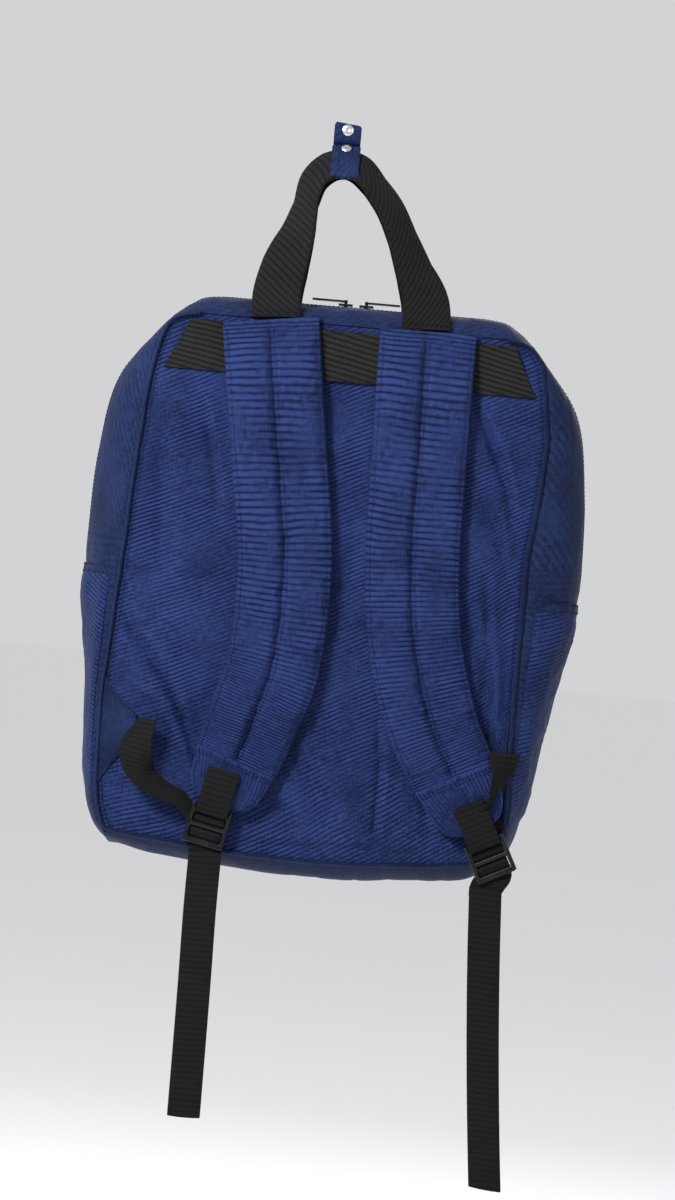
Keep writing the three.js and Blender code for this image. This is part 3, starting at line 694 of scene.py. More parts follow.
foam = foamed("foam", (0.06, 0.065, 0.08))
navy_thread = sewing_thread("navy_thread", (0.002, 0.0035, 0.015))
black_thread = sewing_thread("black_thread", (0.005, 0.005, 0.006))

# ---------------------------------------------------------------- the bag's shape


def seam_at(station):
    point = spline(SEAM, np.asarray(station, float) / LAST_STATION)
    point[..., 1] = np.minimum(point[..., 1], TOP_SEAM_Z)
    return point


def middle_at(station):
    point = spline(MIDDLE, np.asarray(station, float) / LAST_STATION)
    point[..., 1] = np.minimum(point[..., 1], MIDDLE[-1][1])
    return point


def front_y(z):
    return between(FRONT_DEPTH, z)


def half_depth(z):
    return (front_y(z) - BACK_Y) / 2


def middle_y(z):
    return (front_y(z) + BACK_Y) / 2


def gusset_point(side, station, y, fullness=1.0):
    """Points of the gusset: side is -1 left or 1 right, y runs from the back seam to the front."""
    seam = seam_at(station)
    middle = middle_at(station)
    q = (y - middle_y(seam[..., 1])) / half_depth(seam[..., 1])
    bulge = fullness * np.sqrt(np.maximum(0, 1 - q * q))
    slack = np.where(np.asarray(side) < 0, between(LEFT_SLACK, station), between(RIGHT_SLACK, station))
    x = seam[..., 0] + (middle[..., 0] + slack - seam[..., 0]) * bulge
    z = seam[..., 1] + (middle[..., 1] - seam[..., 1]) * bulge
    return np.stack([side * x, y + 0 * x, z], -1)


def sagged(points):
    """The bag's lower end hangs in a shallow arc between its two corners."""
    corner = SEAM[0][0]
    arc = np.maximum(0, 1 - (points[..., 0] / corner) ** 2)
    drop = BOTTOM_SAG * arc * (1 - smooth_step(BOTTOM_SEAM_Z, 90, points[..., 2]))
    return points - drop[..., None] * np.array([0, 0, 1])


def gusset_at_angle(side, station, angle, fullness=1.0):
    z = seam_at(station)[..., 1]
    y = middle_y(z) - half_depth(z) * np.cos(angle)
    return gusset_point(side, station, y, fullness)


def over_the_top(share):
    """Side and station at shares 0..1 of the way over the bag, from the left fold to the right."""
    side = np.where(share < 0.5, -1.0, 1.0)
    station = LAST_STATION - np.abs(2 * share - 1) * (LAST_STATION - FOLD_STATION)
    return side, station


def seam_half_width(z):
    right = seam_at(np.linspace(0, CORNER_STATION, 200))
    return np.interp(z, right[:, 1], right[:, 0])


def wrinkled(grid, fade, coarse=1.6, fine=0.35, lumps=(38, 38, 55)):
    """A grid of cloth points moved along their normals: slack lumps and small sharp wrinkles."""
    height = coarse * noise(grid, lumps)
    height += fine * 2 * ridges(grid + 400, (16, 16, 24))
    height += fine * noise(grid + 90, (7, 7, 9))
    return grid + normals_of(grid) * (height * fade)[..., None]


# Folds of the back panel: a line of [x, z] points, half width and depth, in millimetres.
PANEL_FOLDS = [
    ([[-150, 200], [-145, 174], [-120, 131], [-98, 88], [-90, 66]], 5, 3.4),
    ([[-152, 150], [-130, 112], [-108, 70], [-96, 40]], 7, 2.0),
    ([[-140, 16], [-120, 24], [-97, 32]], 5, 2.4),
    ([[-132, 362], [-110, 338], [-98, 300], [-92, 250]], 6, 2.2),
    ([[-142, 340], [-134, 270], [-128, 205]], 8, 2.0),
    ([[96, 363], [118, 320], [140, 270]], 5, 2.4),
    ([[104, 300], [124, 262], [144, 228]], 6, 1.8),
    ([[116, 235], [130, 150], [146, 70]], 6, 2.6),
    ([[100, 205], [122, 160], [128, 110]], 7, 1.6),
    ([[44, 120], [49, 70], [48, 28]], 4, 1.8),
    ([[-30, 95], [0, 60], [22, 26]], 9, 2.2),
    ([[-45, 60], [-20, 44], [-12, 22]], 6, 1.8),
    ([[-140, 30], [-60, 24], [40, 26], [120, 22]], 4, 1.6),
    ([[70, 90], [84, 60], [92, 26]], 6, 2.0),
    ([[8, 330], [14, 250], [6, 170]], 14, 1.6),
]


# ---------------------------------------------------------------- back of the bag


def panel_grid(z, share, half_width):
    """Points of an upright panel: share runs -1..1 across it, half_width is given at each z."""
    return np.stack([share * half_width, np.zeros_like(z), z], -1)


def back_panel():
    rows = np.linspace(BOTTOM_SEAM_Z + 0.6, TOP_SEAM_Z - 0.6, 160)
    z, share = np.meshgrid(rows, np.linspace(-1, 1, 126), indexing="ij")
    grid = panel_grid(z, share, seam_half_width(z) - 0.6)
    flat = grid[..., [0, 2]]
    depth = 0
    for line, width, height in PANEL_FOLDS:
        depth += 2.0 * crease(flat, line, 0.7 * width, height)
        depth -= 1.7 * crease(flat - (1.4 * width, 0.7 * width), line, width, height)
    depth += 1.6 * noise(grid, (55, 1, 70)) + 0.45 * noise(grid, (14, 1, 8))
    depth += 1.3 * ridges(grid + 210, (60, 1, 34))
    near_bottom = 1 - smooth_step(20, 130, z)
    depth += near_bottom * 1.2 * ridges(grid + 37, (34, 1, 13))
    to_edge = np.minimum((1 - np.abs(share)) * 150, np.minimum(z - rows[0], rows[-1] - z))
    slack = smooth_step(0, 16, to_edge)
    outward = UNDER_STRAPS + (FOLD_OUT_OF_BAG - UNDER_STRAPS) * beside_straps(grid)
    outward = outward * (1 - smooth_step(340, 366, z))
    relief = np.clip((1.4 * depth - 0.6) * slack, -outward, FOLD_INTO_BAG)
    grid[..., 1] = BACK_Y + FABRIC / 2 + relief
    form = shell(sagged(grid), FABRIC, flat)
    stand_in("back_panel", form, panel_cloth, "bag")


def beside_straps(grid):
    """1 where nothing lies on the back panel, falling to 0 under the straps."""
    clear = 1
    for points in (LEFT_STRAP, RIGHT_STRAP):
        line = spline(points, np.linspace(0, 1, 60))[::-1]
        middle = np.interp(grid[..., 2], line[:, 1], line[:, 0])
        clear = clear * smooth_step(40, 56, np.abs(grid[..., 0] - middle))
    return clear


def foam_sheet():
    rows = np.linspace(BOTTOM_SEAM_Z + 12, TOP_SEAM_Z - 12, 40)
    z, share = np.meshgrid(rows, np.linspace(-1, 1, 30), indexing="ij")
    grid = panel_grid(z, share, seam_half_width(z) - 12)
    grid[..., 1] = FOAM_Y + 0.5 * noise(grid, (60, 1, 60))
    stand_in("back_foam", shell(grid, 3), foam, "bag")


def trim_band():
    z, share = spread((BAND_LOW, BAND_HIGH, 16), (-1, 1, 140))
    grid = panel_grid(z, share, np.interp(z, [BAND_LOW, BAND_HIGH], [142, 124]))
    grid[..., 1] = BACK_Y - 0.45 - WEBBING / 2 - 0.25 * noise(grid, (26, 1, 20))
    stand_in("trim_band", shell(grid, WEBBING), band_webbing, "bag")
    rows = []
    for row in (1, 14):
        line = grid[row] + (0, -WEBBING / 2 - 0.1, 0)
        rows.append(stitches(line, (0, -1, 0)))
    make("trim_band_stitches", joined(rows), black_thread, "bag")


def seam_run(from_station, over_top):
    """Side and station of points along a seam, from the left, through the bottom or over the top."""
    count = 70
    stop = LAST_STATION if over_top else 0
    half = np.linspace(from_station, stop, count)
    if over_top:
        half = half[:-1]
    sides = np.concatenate([np.full(len(half), -1.0), np.full(len(half), 1.0)])
    return sides, np.concatenate([half, half[::-1]])


def round_tube(points, radius, around=10):
    """A cord of round section along a path that stays near one plane of constant depth."""
    along = tangents(points)
    side = np.cross(along, (0, 1, 0))
    side /= np.linalg.norm(side, axis=1, keepdims=True)
    normal = np.cross(side, along)
    turn = full_turn(around)
    circle = radius * np.stack([np.cos(turn), np.sin(turn)], -1)
    return sweep(points, side, normal, [circle] * len(points))


def piping(name, from_station, over_top, face, body):
    sides, stations = seam_run(from_station, over_top)
    seam = seam_at(stations)
    surface = BACK_Y if face < 0 else front_y(seam[:, 1])
    depth = surface + face * (0.4 + PIPING_RADIUS)
    points = np.stack([sides * (seam[:, 0] - 0.3), depth + 0 * sides, seam[:, 1]], -1)
    points = sagged(resampled(points, 4))
    points += 0.35 * np.stack([noise(points + k, (14, 14, 14)) for k in (0, 50, 90)], -1)
    made = round_tube(points, PIPING_RADIUS)
    stand_in(name, made, painted_shade_cloth, body)
    inward = points * (0.974, 1, 0.992) + (0, face * -0.2, 1.6)
    make(name + "_stitches", stitches(inward, (0, face, 0)), navy_thread, body)


def anchor_tab(prefix, side):
    """A folded triangle of cloth, sewn into the side seam, that holds the adjuster webbing."""
    v, u = spread((0, 1, 16), (0, 1, 14))
    x = side * (154 - 21 * u)
    low = 48 + 36 * u
    high = 130 - 26 * u
    z = low + v * (high - low)
    grid = np.stack([x, np.full_like(x, BACK_Y - 1.3), z], -1)
    grid[..., 1] += 0.25 * noise(grid, (9, 1, 12))
    form = shell(grid if side < 0 else grid[:, ::-1], 1.3)
    stand_in(f"{prefix}_anchor_tab", form, painted_shade_cloth, "bag")
    lines = [grid[1, 1:-1], grid[-2, 1:-1]]
    rows = [stitches(line + (0, -0.75, 0), (0, -1, 0)) for line in lines]
    make(f"{prefix}_anchor_tab_stitches", joined(rows), navy_thread, "bag")


# ---------------------------------------------------------------- sides, top, front and bottom


def gusset(face, name, body, nodes):
    """The cloth from a panel's seam to the zip tape: face is -1 for the rear half, 1 for the lid's."""
    lap = 0.003 if face < 0 else 0      # the rear half reaches a little over the side wall
    share = np.concatenate([np.linspace(-lap, 0.5, 150)[:-1], np.linspace(0.5, 1 + lap, 150)])
    across, along = np.meshgrid(np.linspace(0, 1, 26), share, indexing="ij")
    side, station = over_the_top(along)
    z = seam_at(station)[..., 1]
    zip_angle = np.arccos((TAPE_EDGE + 0.2) / half_depth(z))
    angle = across * zip_angle
    grid = gusset_at_angle(side, station, angle if face < 0 else math.pi - angle)
    fade = np.minimum(smooth_step(0, 0.12, across), smooth_step(0, 0.16, 1 - across))
    ends = np.minimum(along, 1 - along)
    fade *= smooth_step(0, 0.03, ends)
    handle_room = 1 - 0.8 * smooth_step(405, 412, z) * smooth_step(0.5, 0.0, across)
    grid = wrinkled(grid, -face * 0.85 * fade * handle_room, 1.5, 0.35)
    make(name, shell(grid, FABRIC), painted_shade_cloth, body, nodes)
    outward = -face * normals_of(grid)[-2]
    rows = stitches(grid[-2] + outward * (FABRIC / 2 + 0.1), outward)
    make(name + "_stitches", rows, navy_thread, body)


def zip_line(face, offset, count=900):
    """A line over the bag at a distance from the middle of the zip, and the way out from the bag."""
    side, station = over_the_top(np.linspace(0, 1, count))
    y = middle_y(seam_at(station)[:, 1]) + face * offset
    points = gusset_point(side, station, y)
    along = tangents(points)
    outward = np.cross(along, (0, 1, 0))
    outward *= np.where((outward * (points - (0, 0, 220))).sum(1) < 0, -1, 1)[:, None]
    return points, outward / np.linalg.norm(outward, axis=1, keepdims=True)


def tooth(centre, along, across, up):
    """One turn of the nylon coil: a small rounded bar that crosses the tape's edge."""
    places = np.array([-1, -0.7, 0.7, 1])
    sizes = np.array([0.5, 1, 1, 0.5])
    turn = full_turn(6)
    ring = 0.48 * np.cos(turn)[:, None] * along + 0.75 * np.sin(turn)[:, None] * up
    return tube(centre + across * places[:, None, None] * 1.15 + ring * sizes[:, None, None])


def zip_half(face, prefix, body):
    """Half of the main zip: its tape and its row of coil turns."""
    columns = [zip_line(face, offset)[0][::6] for offset in np.linspace(TAPE_INNER, TAPE_EDGE + 2.5, 6)]
    grid = np.stack(columns, 1)
    outward = zip_line(face, TAPE_INNER)[1][::6]
    grid = grid - outward[:, None, :] * 0.5
    stand_in(f"{prefix}_zip_tape", shell(grid, 0.8), zip_cloth, body)
    points, outward = zip_line(face, 1.45)
    total = lengths(points[None], 1)[0, -1]
    marks = np.arange(2, total - 2, TOOTH_PITCH) + (TOOTH_PITCH / 2 if face > 0 else 0)
    centres = at_lengths(points, marks)
    ups = at_lengths(points, marks, outward)
    along = tangents(centres)
    teeth = [tooth(c, a, np.cross(a, u), u) for c, a, u in zip(centres, along, ups)]
    stand_in(f"{prefix}_zip_coil", joined(teeth), zip_teeth, body)


def wall_fullness(station):
    return between([[0, 1], [0.8, 0.8], [3.6, 0.8], [4.35, 0.93], [4.7, 1]], station)


def side_wall(prefix, side):
    """The lower side of the bag. It stands in behind its slip pocket."""
    up, round_ = spread((0, FOLD_STATION - 0.01, 90), (0, 1, 44))
    angle = 0.02 + round_ * (math.pi - 0.04)
    grid = gusset_at_angle(side, up, angle, wall_fullness(up))
    fade = smooth_step(0, 0.1, round_) * smooth_step(0, 0.1, 1 - round_) * smooth_step(0, 0.4, up)
    fade *= smooth_step(0, 0.25, FOLD_STATION - up) * (1 - 0.6 * smooth_step(0.9, 1.3, up) * (up < 4.3))
    grid = wrinkled(grid, fade * 0.8, 1.4, 0.4)
    stand_in(f"{prefix}_side_panel", shell(grid, FABRIC), painted_shade_cloth, "bag")


def pocket_grid(side, low, high, rows):
    up, round_ = spread((low, high, rows), (0, 1, 48))
    edge = 0.24
    angle = edge + round_ * (math.pi - 2 * edge)
    fullness = between([[1, 0.82], [1.35, 1], [4.1, 1], [4.5, 0.97]], up)
    return gusset_at_angle(side, up, angle, fullness), up, round_


def side_pocket(prefix, side):
    """A slip pocket of the same cloth, gathered into the side seams, with a bound top edge."""
    grid, up, round_ = pocket_grid(side, POCKET_BOTTOM_STATION, POCKET_TOP_STATION, 70)
    fade = smooth_step(0, 0.08, round_) * smooth_step(0, 0.08, 1 - round_)
    below_hem = POCKET_TOP_STATION - up
    fade *= smooth_step(0, 0.25, up - POCKET_BOTTOM_STATION) * smooth_step(0, 0.1, below_hem)
    gathers = 0.9 * ridges(grid + 11, (14, 14, 60)) * (1 - smooth_step(0, 1.6, below_hem))
    grid = wrinkled(grid, fade * side, 1.5, 0.4) + normals_of(grid) * (side * gathers * fade)[..., None]
    stand_in(f"{prefix}_side_pocket", shell(grid, POCKET_CLOTH), panel_cloth, "bag")
    hem, up, round_ = pocket_grid(side, POCKET_TOP_STATION - 0.02, POCKET_TOP_STATION + 0.16, 8)
    hem = hem + normals_of(hem) * (0.35 * np.sin(round_ * 60) * smooth_step(0, 0.1, round_))[..., None]
    stand_in(f"{prefix}_pocket_hem", shell(hem, 1.5), painted_shade_cloth, "bag")
    outward = normals_of(hem)[1]
    outward *= np.sign((outward * (hem[1] * (1, 0, 0))).sum(1).mean())
    facing = outward[len(outward) // 2]
    rows = [stitches(hem[row, 1:-1] + outward[1:-1] * 0.85, facing) for row in (1, 6)]
    make(f"{prefix}_pocket_stitches", joined(rows), navy_thread, "bag")


def front_panel():
    """One cloth from the bottom seam to the top. It bends where the opened lid folds down."""
    rows = np.linspace(BOTTOM_SEAM_Z + 1, TOP_SEAM_Z - 0.8, 130)
    z, share = np.meshgrid(rows, np.linspace(-1, 1, 96), indexing="ij")
    grid = panel_grid(z, share, seam_half_width(z) - 1)
    to_edge = np.minimum((1 - np.abs(share)) * 150, np.minimum(z - rows[0], rows[-1] - z))
    slack = smooth_step(0, 18, to_edge)
    behind_pocket = smooth_step(214, 224, z)
    relief = 2.2 * noise(grid, (60, 1, 70)) + 1.6 * ridges(grid + 5, (45, 1, 26)) - 1
    relief += 0.4 * noise(grid, (11, 1, 10))
    grid[..., 1] = front_y(z) - FABRIC / 2 + np.minimum(relief * slack, 0.3 + 2.2 * behind_pocket)
    grid = grid[:, ::-1]
    form = shell(sagged(grid), FABRIC, grid[..., [0, 2]])
    made = make("front_panel", form, panel_cloth, stands_for=["front_lower_panel", "lid_panel"])
    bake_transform(made)


def bottom_panel():
    across, along = spread((-1, 1, 34), (-1, 1, 90))
    turn_up = np.maximum(0, (np.abs(across) - 0.6) / 0.4)
    y = middle_y(BOTTOM_SEAM_Z) + across * (half_depth(BOTTOM_SEAM_Z) - 0.6)
    z = FABRIC / 2 + (BOTTOM_SEAM_Z - 1) * turn_up**2
    end = gusset_point(1, np.zeros_like(y), y)
    to_end = smooth_step(0.82, 1, np.abs(along))
    grid = np.stack([along * end[..., 0], y, z + (end[..., 2] - z) * to_end], -1)
    fade = smooth_step(0, 0.2, 1 - np.abs(across)) * smooth_step(0, 0.06, 1 - np.abs(along))
    grid[..., 2] += fade * (0.8 + 0.8 * noise(grid, (34, 26, 20)) + 0.8 * ridges(grid, (24, 40, 20)))
    stand_in("bottom_panel", shell(sagged(grid), FABRIC), painted_shade_cloth, "bag")


def front_pocket():
    """A flat zipped pocket: its puffed panel, stitches, tape and coil."""
    v, u = spread((0, 1, 80), (0, 1, 100))
    x = (2 * u - 1) * POCKET_HALF_WIDTH
    z = POCKET_LOW + v * (POCKET_HIGH + 2 - POCKET_LOW)
    rise = (1 - np.abs(2 * u - 1) ** 5) * np.minimum(1, np.minimum(4 * v, 4 * (1.1 - v)))
    grid = np.stack([x, front_y(z) + 1.2 + 5.2 * rise, z], -1)
    fade = smooth_step(0, 0.06, np.minimum(u, 1 - u)) * smooth_step(0, 0.08, np.minimum(v, 1 - v))
    relief = 1.2 * noise(grid, (50, 1, 45)) + 1.2 * ridges(grid + 8, (34, 1, 22)) - 0.6
    grid[..., 1] += np.clip(relief, -1.5, 1.4) * fade
    stand_in("front_pocket_panel", shell(grid[:, ::-1], POCKET_CLOTH), panel_cloth, "bag")
    frame_line = np.concatenate([grid[::-1, 1], grid[1, 1:], grid[1:, -2]])
    rows = stitches(resampled(frame_line, 3) + (0, 0.75, 0), (0, 1, 0))
    make("front_pocket_stitches", rows, navy_thread, "bag")
    half = POCKET_HALF_WIDTH - 2
    z, x = spread((198, 212, 6), (-half, half, 60))
    tape = np.stack([x, np.full_like(x, FRONT_Y + 1.5), z], -1)
    tape[..., 1] += 0.12 * noise(tape, (20, 1, 20))
    stand_in("pocket_zip_tape", shell(tape[:, ::-1], 0.9), zip_cloth, "bag")
    teeth = []
    for x in np.arange(-half + 5, half - 5, TOOTH_PITCH / 2):
        lift = 0.7 if round(x / TOOTH_PITCH * 2) % 2 else -0.7
        centre = np.array([x, FRONT_Y + 3.1, POCKET_ZIP_Z + lift])
        teeth.append(tooth(centre, np.array([0.8, 0, 0]), np.array([0, 0, 0.8]), np.array([0, 1.0, 0])))
    stand_in("pocket_zip_coil", joined(teeth), zip_teeth, "bag")


# ---------------------------------------------------------------- shoulder straps

def strap_surface(points, along, across, seed):
    """Points of the padded outer face: along 0..1 down the strap, across -1..1."""
    middle = spline(points, along)
    ahead = spline(points, np.minimum(along + 0.002, 1)) - spline(points, np.maximum(along - 0.002, 0))
    ahead /= np.linalg.norm(ahead, axis=-1, keepdims=True)
    width = between(STRAP_WIDTH, along) * np.sqrt(1 - 0.75 * smooth_step(0.955, 1, along) ** 2)
    padded = 1 - smooth_step(PAD_END - 0.012, PAD_END + 0.008, along)
    size = np.abs(across)
    edge = np.maximum(0, 1 - size**5) ** 0.2
    groove = 0.40 * np.exp(-((across / 0.10) ** 2)) + 0.10 * np.exp(-(((size - 0.9) / 0.05) ** 2))
    dome = 1 - 0.12 * ((size - 0.5) / 0.5) ** 2
    pad = edge * (1 - groove) * dome
    depth = np.abs(between(COVER_Y, along) - between(LINING_Y, along)) - 1.05
    side = np.where(across < 0, 0.0, 300.0) + seed
    cloth = np.stack([across * width / 2 + side, 0 * along, along * STRAP_LENGTH], -1)
    near_stitch = np.exp(-((size / 0.3) ** 2)) + np.exp(-(((size - 0.92) / 0.22) ** 2))
    pucker = (0.3 + near_stitch) * (1.3 * ridges(cloth, (24, 1, 6.5)) + 0.6 * noise(cloth, (15, 1, 3.8)))
    pucker += 1.2 * ridges(cloth + 70, (50, 1, 26)) + 0.7 * noise(cloth + 44, (30, 1, 18)) - 1.1
    tucks = 1.0 * noise(cloth + 30, (4.5, 1, 60)) + 0.5 * noise(cloth + 9, (9, 1, 12))
    relief = padded * pucker + (1 - padded) * tucks * 0.9
    seam = np.exp(-(((along - PAD_END) / 0.006) ** 2))
    relief = relief * smooth_step(0, 0.05, along) - 1.2 * seam * padded
    height = depth * (padded * pad + (1 - padded) * edge) + relief * edge * (1 - groove)
    height = np.maximum(height, 0.2)
    inner = between(LINING_Y, along) - 1.05
    x = middle[..., 0] - ahead[..., 1] * across * width / 2
    z = middle[..., 1] + ahead[..., 0] * across * width / 2
    return np.stack([x, np.maximum(inner - height, -52.5), z], -1)


STRAP_ACROSS = np.concatenate([[-1, -0.995, -0.985], np.linspace(-0.965, 0.965, 73), [0.985, 0.995, 1]])


def strap_rings(points, start, end, count, seed):
    """Closed rings round a stretch of the strap, and each point's place on the flat cloth."""
    along, across = np.meshgrid(np.linspace(start, end, count), STRAP_ACROSS, indexing="ij")
    front = strap_surface(points, along, across, seed)
    back = front[:, ::-7].copy()
    back[..., 1] = between(LINING_Y, along[:, ::-7]) - 1.05
    rings = np.concatenate([front, back[:, 1:-1]], axis=1)
    around = np.concatenate([across, across[:, ::-7][:, 1:-1]], axis=1)
    down = np.broadcast_to(along[:, :1], around.shape)
    return rings, np.stack([around * STRAP_WIDTH[0][1] / 2, down * STRAP_LENGTH], -1)


def strap_cover(prefix, points, seed):
    """The cloth over the foam, sewn through in two rows down its middle, flat below the padding."""
    rings, cloth = strap_rings(points, 0, PAD_END + 0.006, 290, seed)
    root = rings[0] + (0, 0, 4.4)
    root[:, 1] = -40 + (root[:, 1] + 40) * 0.55
    vertices, faces, _ = tube(np.concatenate([root[None], rings]))
    cloth = np.concatenate([cloth[:1] - (0, 4.4), cloth]).reshape(-1, 2)
    body = f"strap_{prefix}"
    cover = stand_in(f"{prefix}_strap_cover", (vertices, faces, cloth), strap_cloth, body)
    rings, cloth = strap_rings(points, PAD_END + 0.004, 1, 80, seed)
    vertices, faces, _ = tube(rings)
    form = (vertices, faces, cloth.reshape(-1, 2))
    make(f"{prefix}_strap_end", form, strap_end_cloth, body)


def strap_lining(prefix, points):
    along, across = spread((0, 0.995, 120), (-0.985, 0.985, 20))
    grid = strap_surface(points, along, across, 0)
    grid[..., 1] = between(LINING_Y, along) - 0.5 + 0.25 * noise(grid, (20, 1, 14))
    stand_in(f"{prefix}_strap_lining", shell(grid, 0.9), painted_shade_lining_cloth, f"strap_{prefix}")


def strap_foam(prefix, points):
    along, across = spread((0.05, 0.825, 60), (-0.84, 0.84, 14))
    grid = strap_surface(points, along, across, 0)
    grid[..., 1] = between(LINING_Y, along) - 3.2
    made = stand_in(f"{prefix}_strap_foam", shell(grid, 3.6), foam, f"strap_{prefix}")


def strap_stitches(prefix, points, seed):
    rows = []
    down = np.linspace(0.012, PAD_END - 0.01, 260)
    for place in (-STITCH_ROW, STITCH_ROW, -0.9, 0.9):
        line = strap_surface(points, down, np.full_like(down, place), seed) + (0, -0.12, 0)
        rows.append(stitches(line, (0, -1, 0)))
    over = np.linspace(-0.93, 0.93, 60)
    for place in (PAD_END + 0.012, PAD_END + 0.02):
        line = strap_surface(points, np.full_like(over, place), over, seed) + (0, -0.15, 0)
        rows.append(stitches(line, (0, -1, 0)))
    lower = np.linspace(PAD_END + 0.02, 0.965, 60)
    for place in (-0.9, 0.9):
        line = strap_surface(points, lower, np.full_like(lower, place), seed) + (0, -0.15, 0)
        rows.append(stitches(line, (0, -1, 0)))
    make(f"{prefix}_strap_stitches", joined(rows), navy_thread, f"strap_{prefix}")


# ---------------------------------------------------------------- webbing, buckles and tails


def end_frame(bar, tilt):
    """The frame of a strap's end: the buckle's top bar at the origin, +Z up the strap, -Y out."""
    return Matrix.Translation((bar[0], BUCKLE_Y, bar[1])) @ Matrix.Rotation(math.radians(tilt), 4, "Y")


def strip_in_plane(path, width, thickness, steps, bow=0.0):
    """Webbing whose path lies in the YZ plane and whose width runs along X."""
    points = curve(path, np.linspace(0, 1, steps))
    along = tangents(points)
    side = np.tile([1.0, 0, 0], (steps, 1))
    normal = np.cross(side, along)
    return sweep(points, side, normal, [web_profile(width, thickness, bow)] * steps)


def end_webbing(prefix, place):
    """Webbing sewn on the strap's end and folded round the buckle's top bar."""
    path = [[0, -4.9, 33], [0, -5.1, 22], [0, -4.8, 10], [0, -3.9, 3], [0, -2.3, -2.3], [0, 0, -3.3],
            [0, 2.3, -2.3], [0, 3.7, 3], [0, 4.1, 10], [0, 4.1, 16]]
    form = placed(strip_in_plane(path, STRAP_WEBBING_WIDTH, WEBBING, 70), place)
    body = f"strap_{prefix}"
    stand_in(f"{prefix}_end_webbing", form, webbing, body)
    half = STRAP_WEBBING_WIDTH / 2 - 2.2
    low, high, out = 11.5, 30.5, -6.0
    box = [[-half, out, low], [half, out, low], [half, out, high], [-half, out, high], [-half, out, low],
           [half, out, high], [half, out + 0.01, high], [-half, out, high], [half, out, low]]
    lines = [np.linspace(a, b, 12) for a, b in zip(box[:-1], box[1:])]
    rows = joined([stitches(line, (0, -1, 0), 2.6, 0.36) for line in lines if np.ptp(line, axis=0).max() > 1])
    make(f"{prefix}_end_stitches", placed(rows, place), black_thread, body)


def bar_form(start, end, half_height, half_depth, around=16, power=3.0):
    """A moulded bar of rounded section between two points."""
    start, end = np.array(start, float), np.array(end, float)
    along = (end - start) / np.linalg.norm(end - start)
    up = np.array([0, 0, 1.0]) if abs(along[0]) > 0.5 else np.array([1.0, 0, 0])
    turn = full_turn(around)
    cosine, sine = np.cos(turn), np.sin(turn)
    outline_up = np.sign(cosine) * np.abs(cosine) ** (2 / power) * half_height
    outline_out = np.sign(sine) * np.abs(sine) ** (2 / power) * half_depth
    ring = outline_up[:, None] * up + outline_out[:, None] * np.array([0, 1.0, 0])
    return tube(np.array([start + ring, end + ring]))


def buckle_form():
    """A ladder-lock buckle: two rails, a round top bar, a middle bar and a lipped bottom bar."""
    parts = []
    for side in (-1, 1):
        parts.append(bar_form((side * 14.3, 0, 2.4), (side * 14.3, 0, -26.8), 1.7, 2.0))
    parts.append(bar_form((-15, 0, 0.2), (15, 0, 0.2), 1.7, 1.5, power=2.2))
    parts.append(bar_form((-15, -0.5, -2.9), (15, -0.5, -2.9), 0.8, 1.3))
    parts.append(bar_form((-15, -0.4, -12.6), (15, -0.4, -12.6), 1.8, 1.5, power=2.2))
    parts.append(bar_form((-15, -0.2, -24.8), (15, -0.2, -24.8), 2.1, 1.7))
    parts.append(bar_form((-14.5, -1.5, -26.6), (14.5, -1.5, -26.6), 0.8, 0.6))
    return joined(parts)


def fused(made, voxel):
    """Joins a piece's overlapping forms into one smooth skin, as a moulding is."""
    modified(made, "REMESH", mode="VOXEL", voxel_size=voxel * MM)
    modified(made, "SMOOTH", factor=0.6, iterations=4)
    graph = bpy.context.evaluated_depsgraph_get()
    skin = bpy.data.meshes.new_from_object(made.evaluated_get(graph))
    skin.name = made.name
    made.modifiers.clear()
    made.data = skin
    skin.shade_smooth()
    return made


def threaded_webbing(prefix, place, tail_top):
    """Webbing woven through the buckle's windows and on to the top of the free end."""
    path = [[0, 3.0, -4.6], [0, 1.3, -6.4], [0, 0.9, -8.4], [0, 2.3, -11], [0, 2.6, -13.4], [0, 1.2, -16],
            [0, 0.7, -18.6], [0, 1.6, -21.4], [0, 2.9, -24.6]]
    route = [place @ Vector(point) for point in path]
    top = Vector(tail_top)
    route.append(route[-1].lerp(top, 0.55) + Vector((0, 0.6, 0)))
    route += [top + Vector((0, 1.7, drop)) for drop in (-1, -6)]
    share = np.linspace(0, 1, 70)
    points = curve(route, share)
    along = tangents(points)
    first = np.array(place.to_3x3() @ Vector((1, 0, 0)))
    turned = smooth_step(0.7, 0.97, share)[:, None]
    side = first * (1 - turned) + np.array([1.0, 0, 0]) * turned
    side -= along * (side * along).sum(1, keepdims=True)
    side /= np.linalg.norm(side, axis=1, keepdims=True)
    profiles = [web_profile(STRAP_WEBBING_WIDTH - 0.6, 1.4)] * len(share)
    form = sweep(points, side, np.cross(side, along), profiles)
    make(f"{prefix}_threaded_webbing", form, webbing, f"buckle_{prefix}")


def buckle(prefix, place):
    body = f"buckle_{prefix}"
    made = make(f"{prefix}_buckle", placed(buckle_form(), place), plastic)
    fused(made, 0.42)
    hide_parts(f"{prefix}_buckle")
    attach(made, body)


def ribbon(points, width, thickness, steps, turn=None, bow=None, start=0.0, end=1.0):
    """Webbing along a path that faces Y, turned about its own path by turn(share) degrees."""
    share = np.linspace(start, end, steps)
    path = curve(points, share)
    side, normal = facing_sides(path, (0, 1, 0))
    angle = np.radians(turn(share) if turn else 0 * share)[:, None]
    turned_side = side * np.cos(angle) + normal * np.sin(angle)
    turned_normal = normal * np.cos(angle) - side * np.sin(angle)
    widths = width(share) if callable(width) else np.full(steps, float(width))
    bows = bow(share) if bow else 0 * share
    profiles = [web_profile(w, thickness, b) for w, b in zip(widths, bows)]
    return sweep(path, turned_side, turned_normal, profiles)


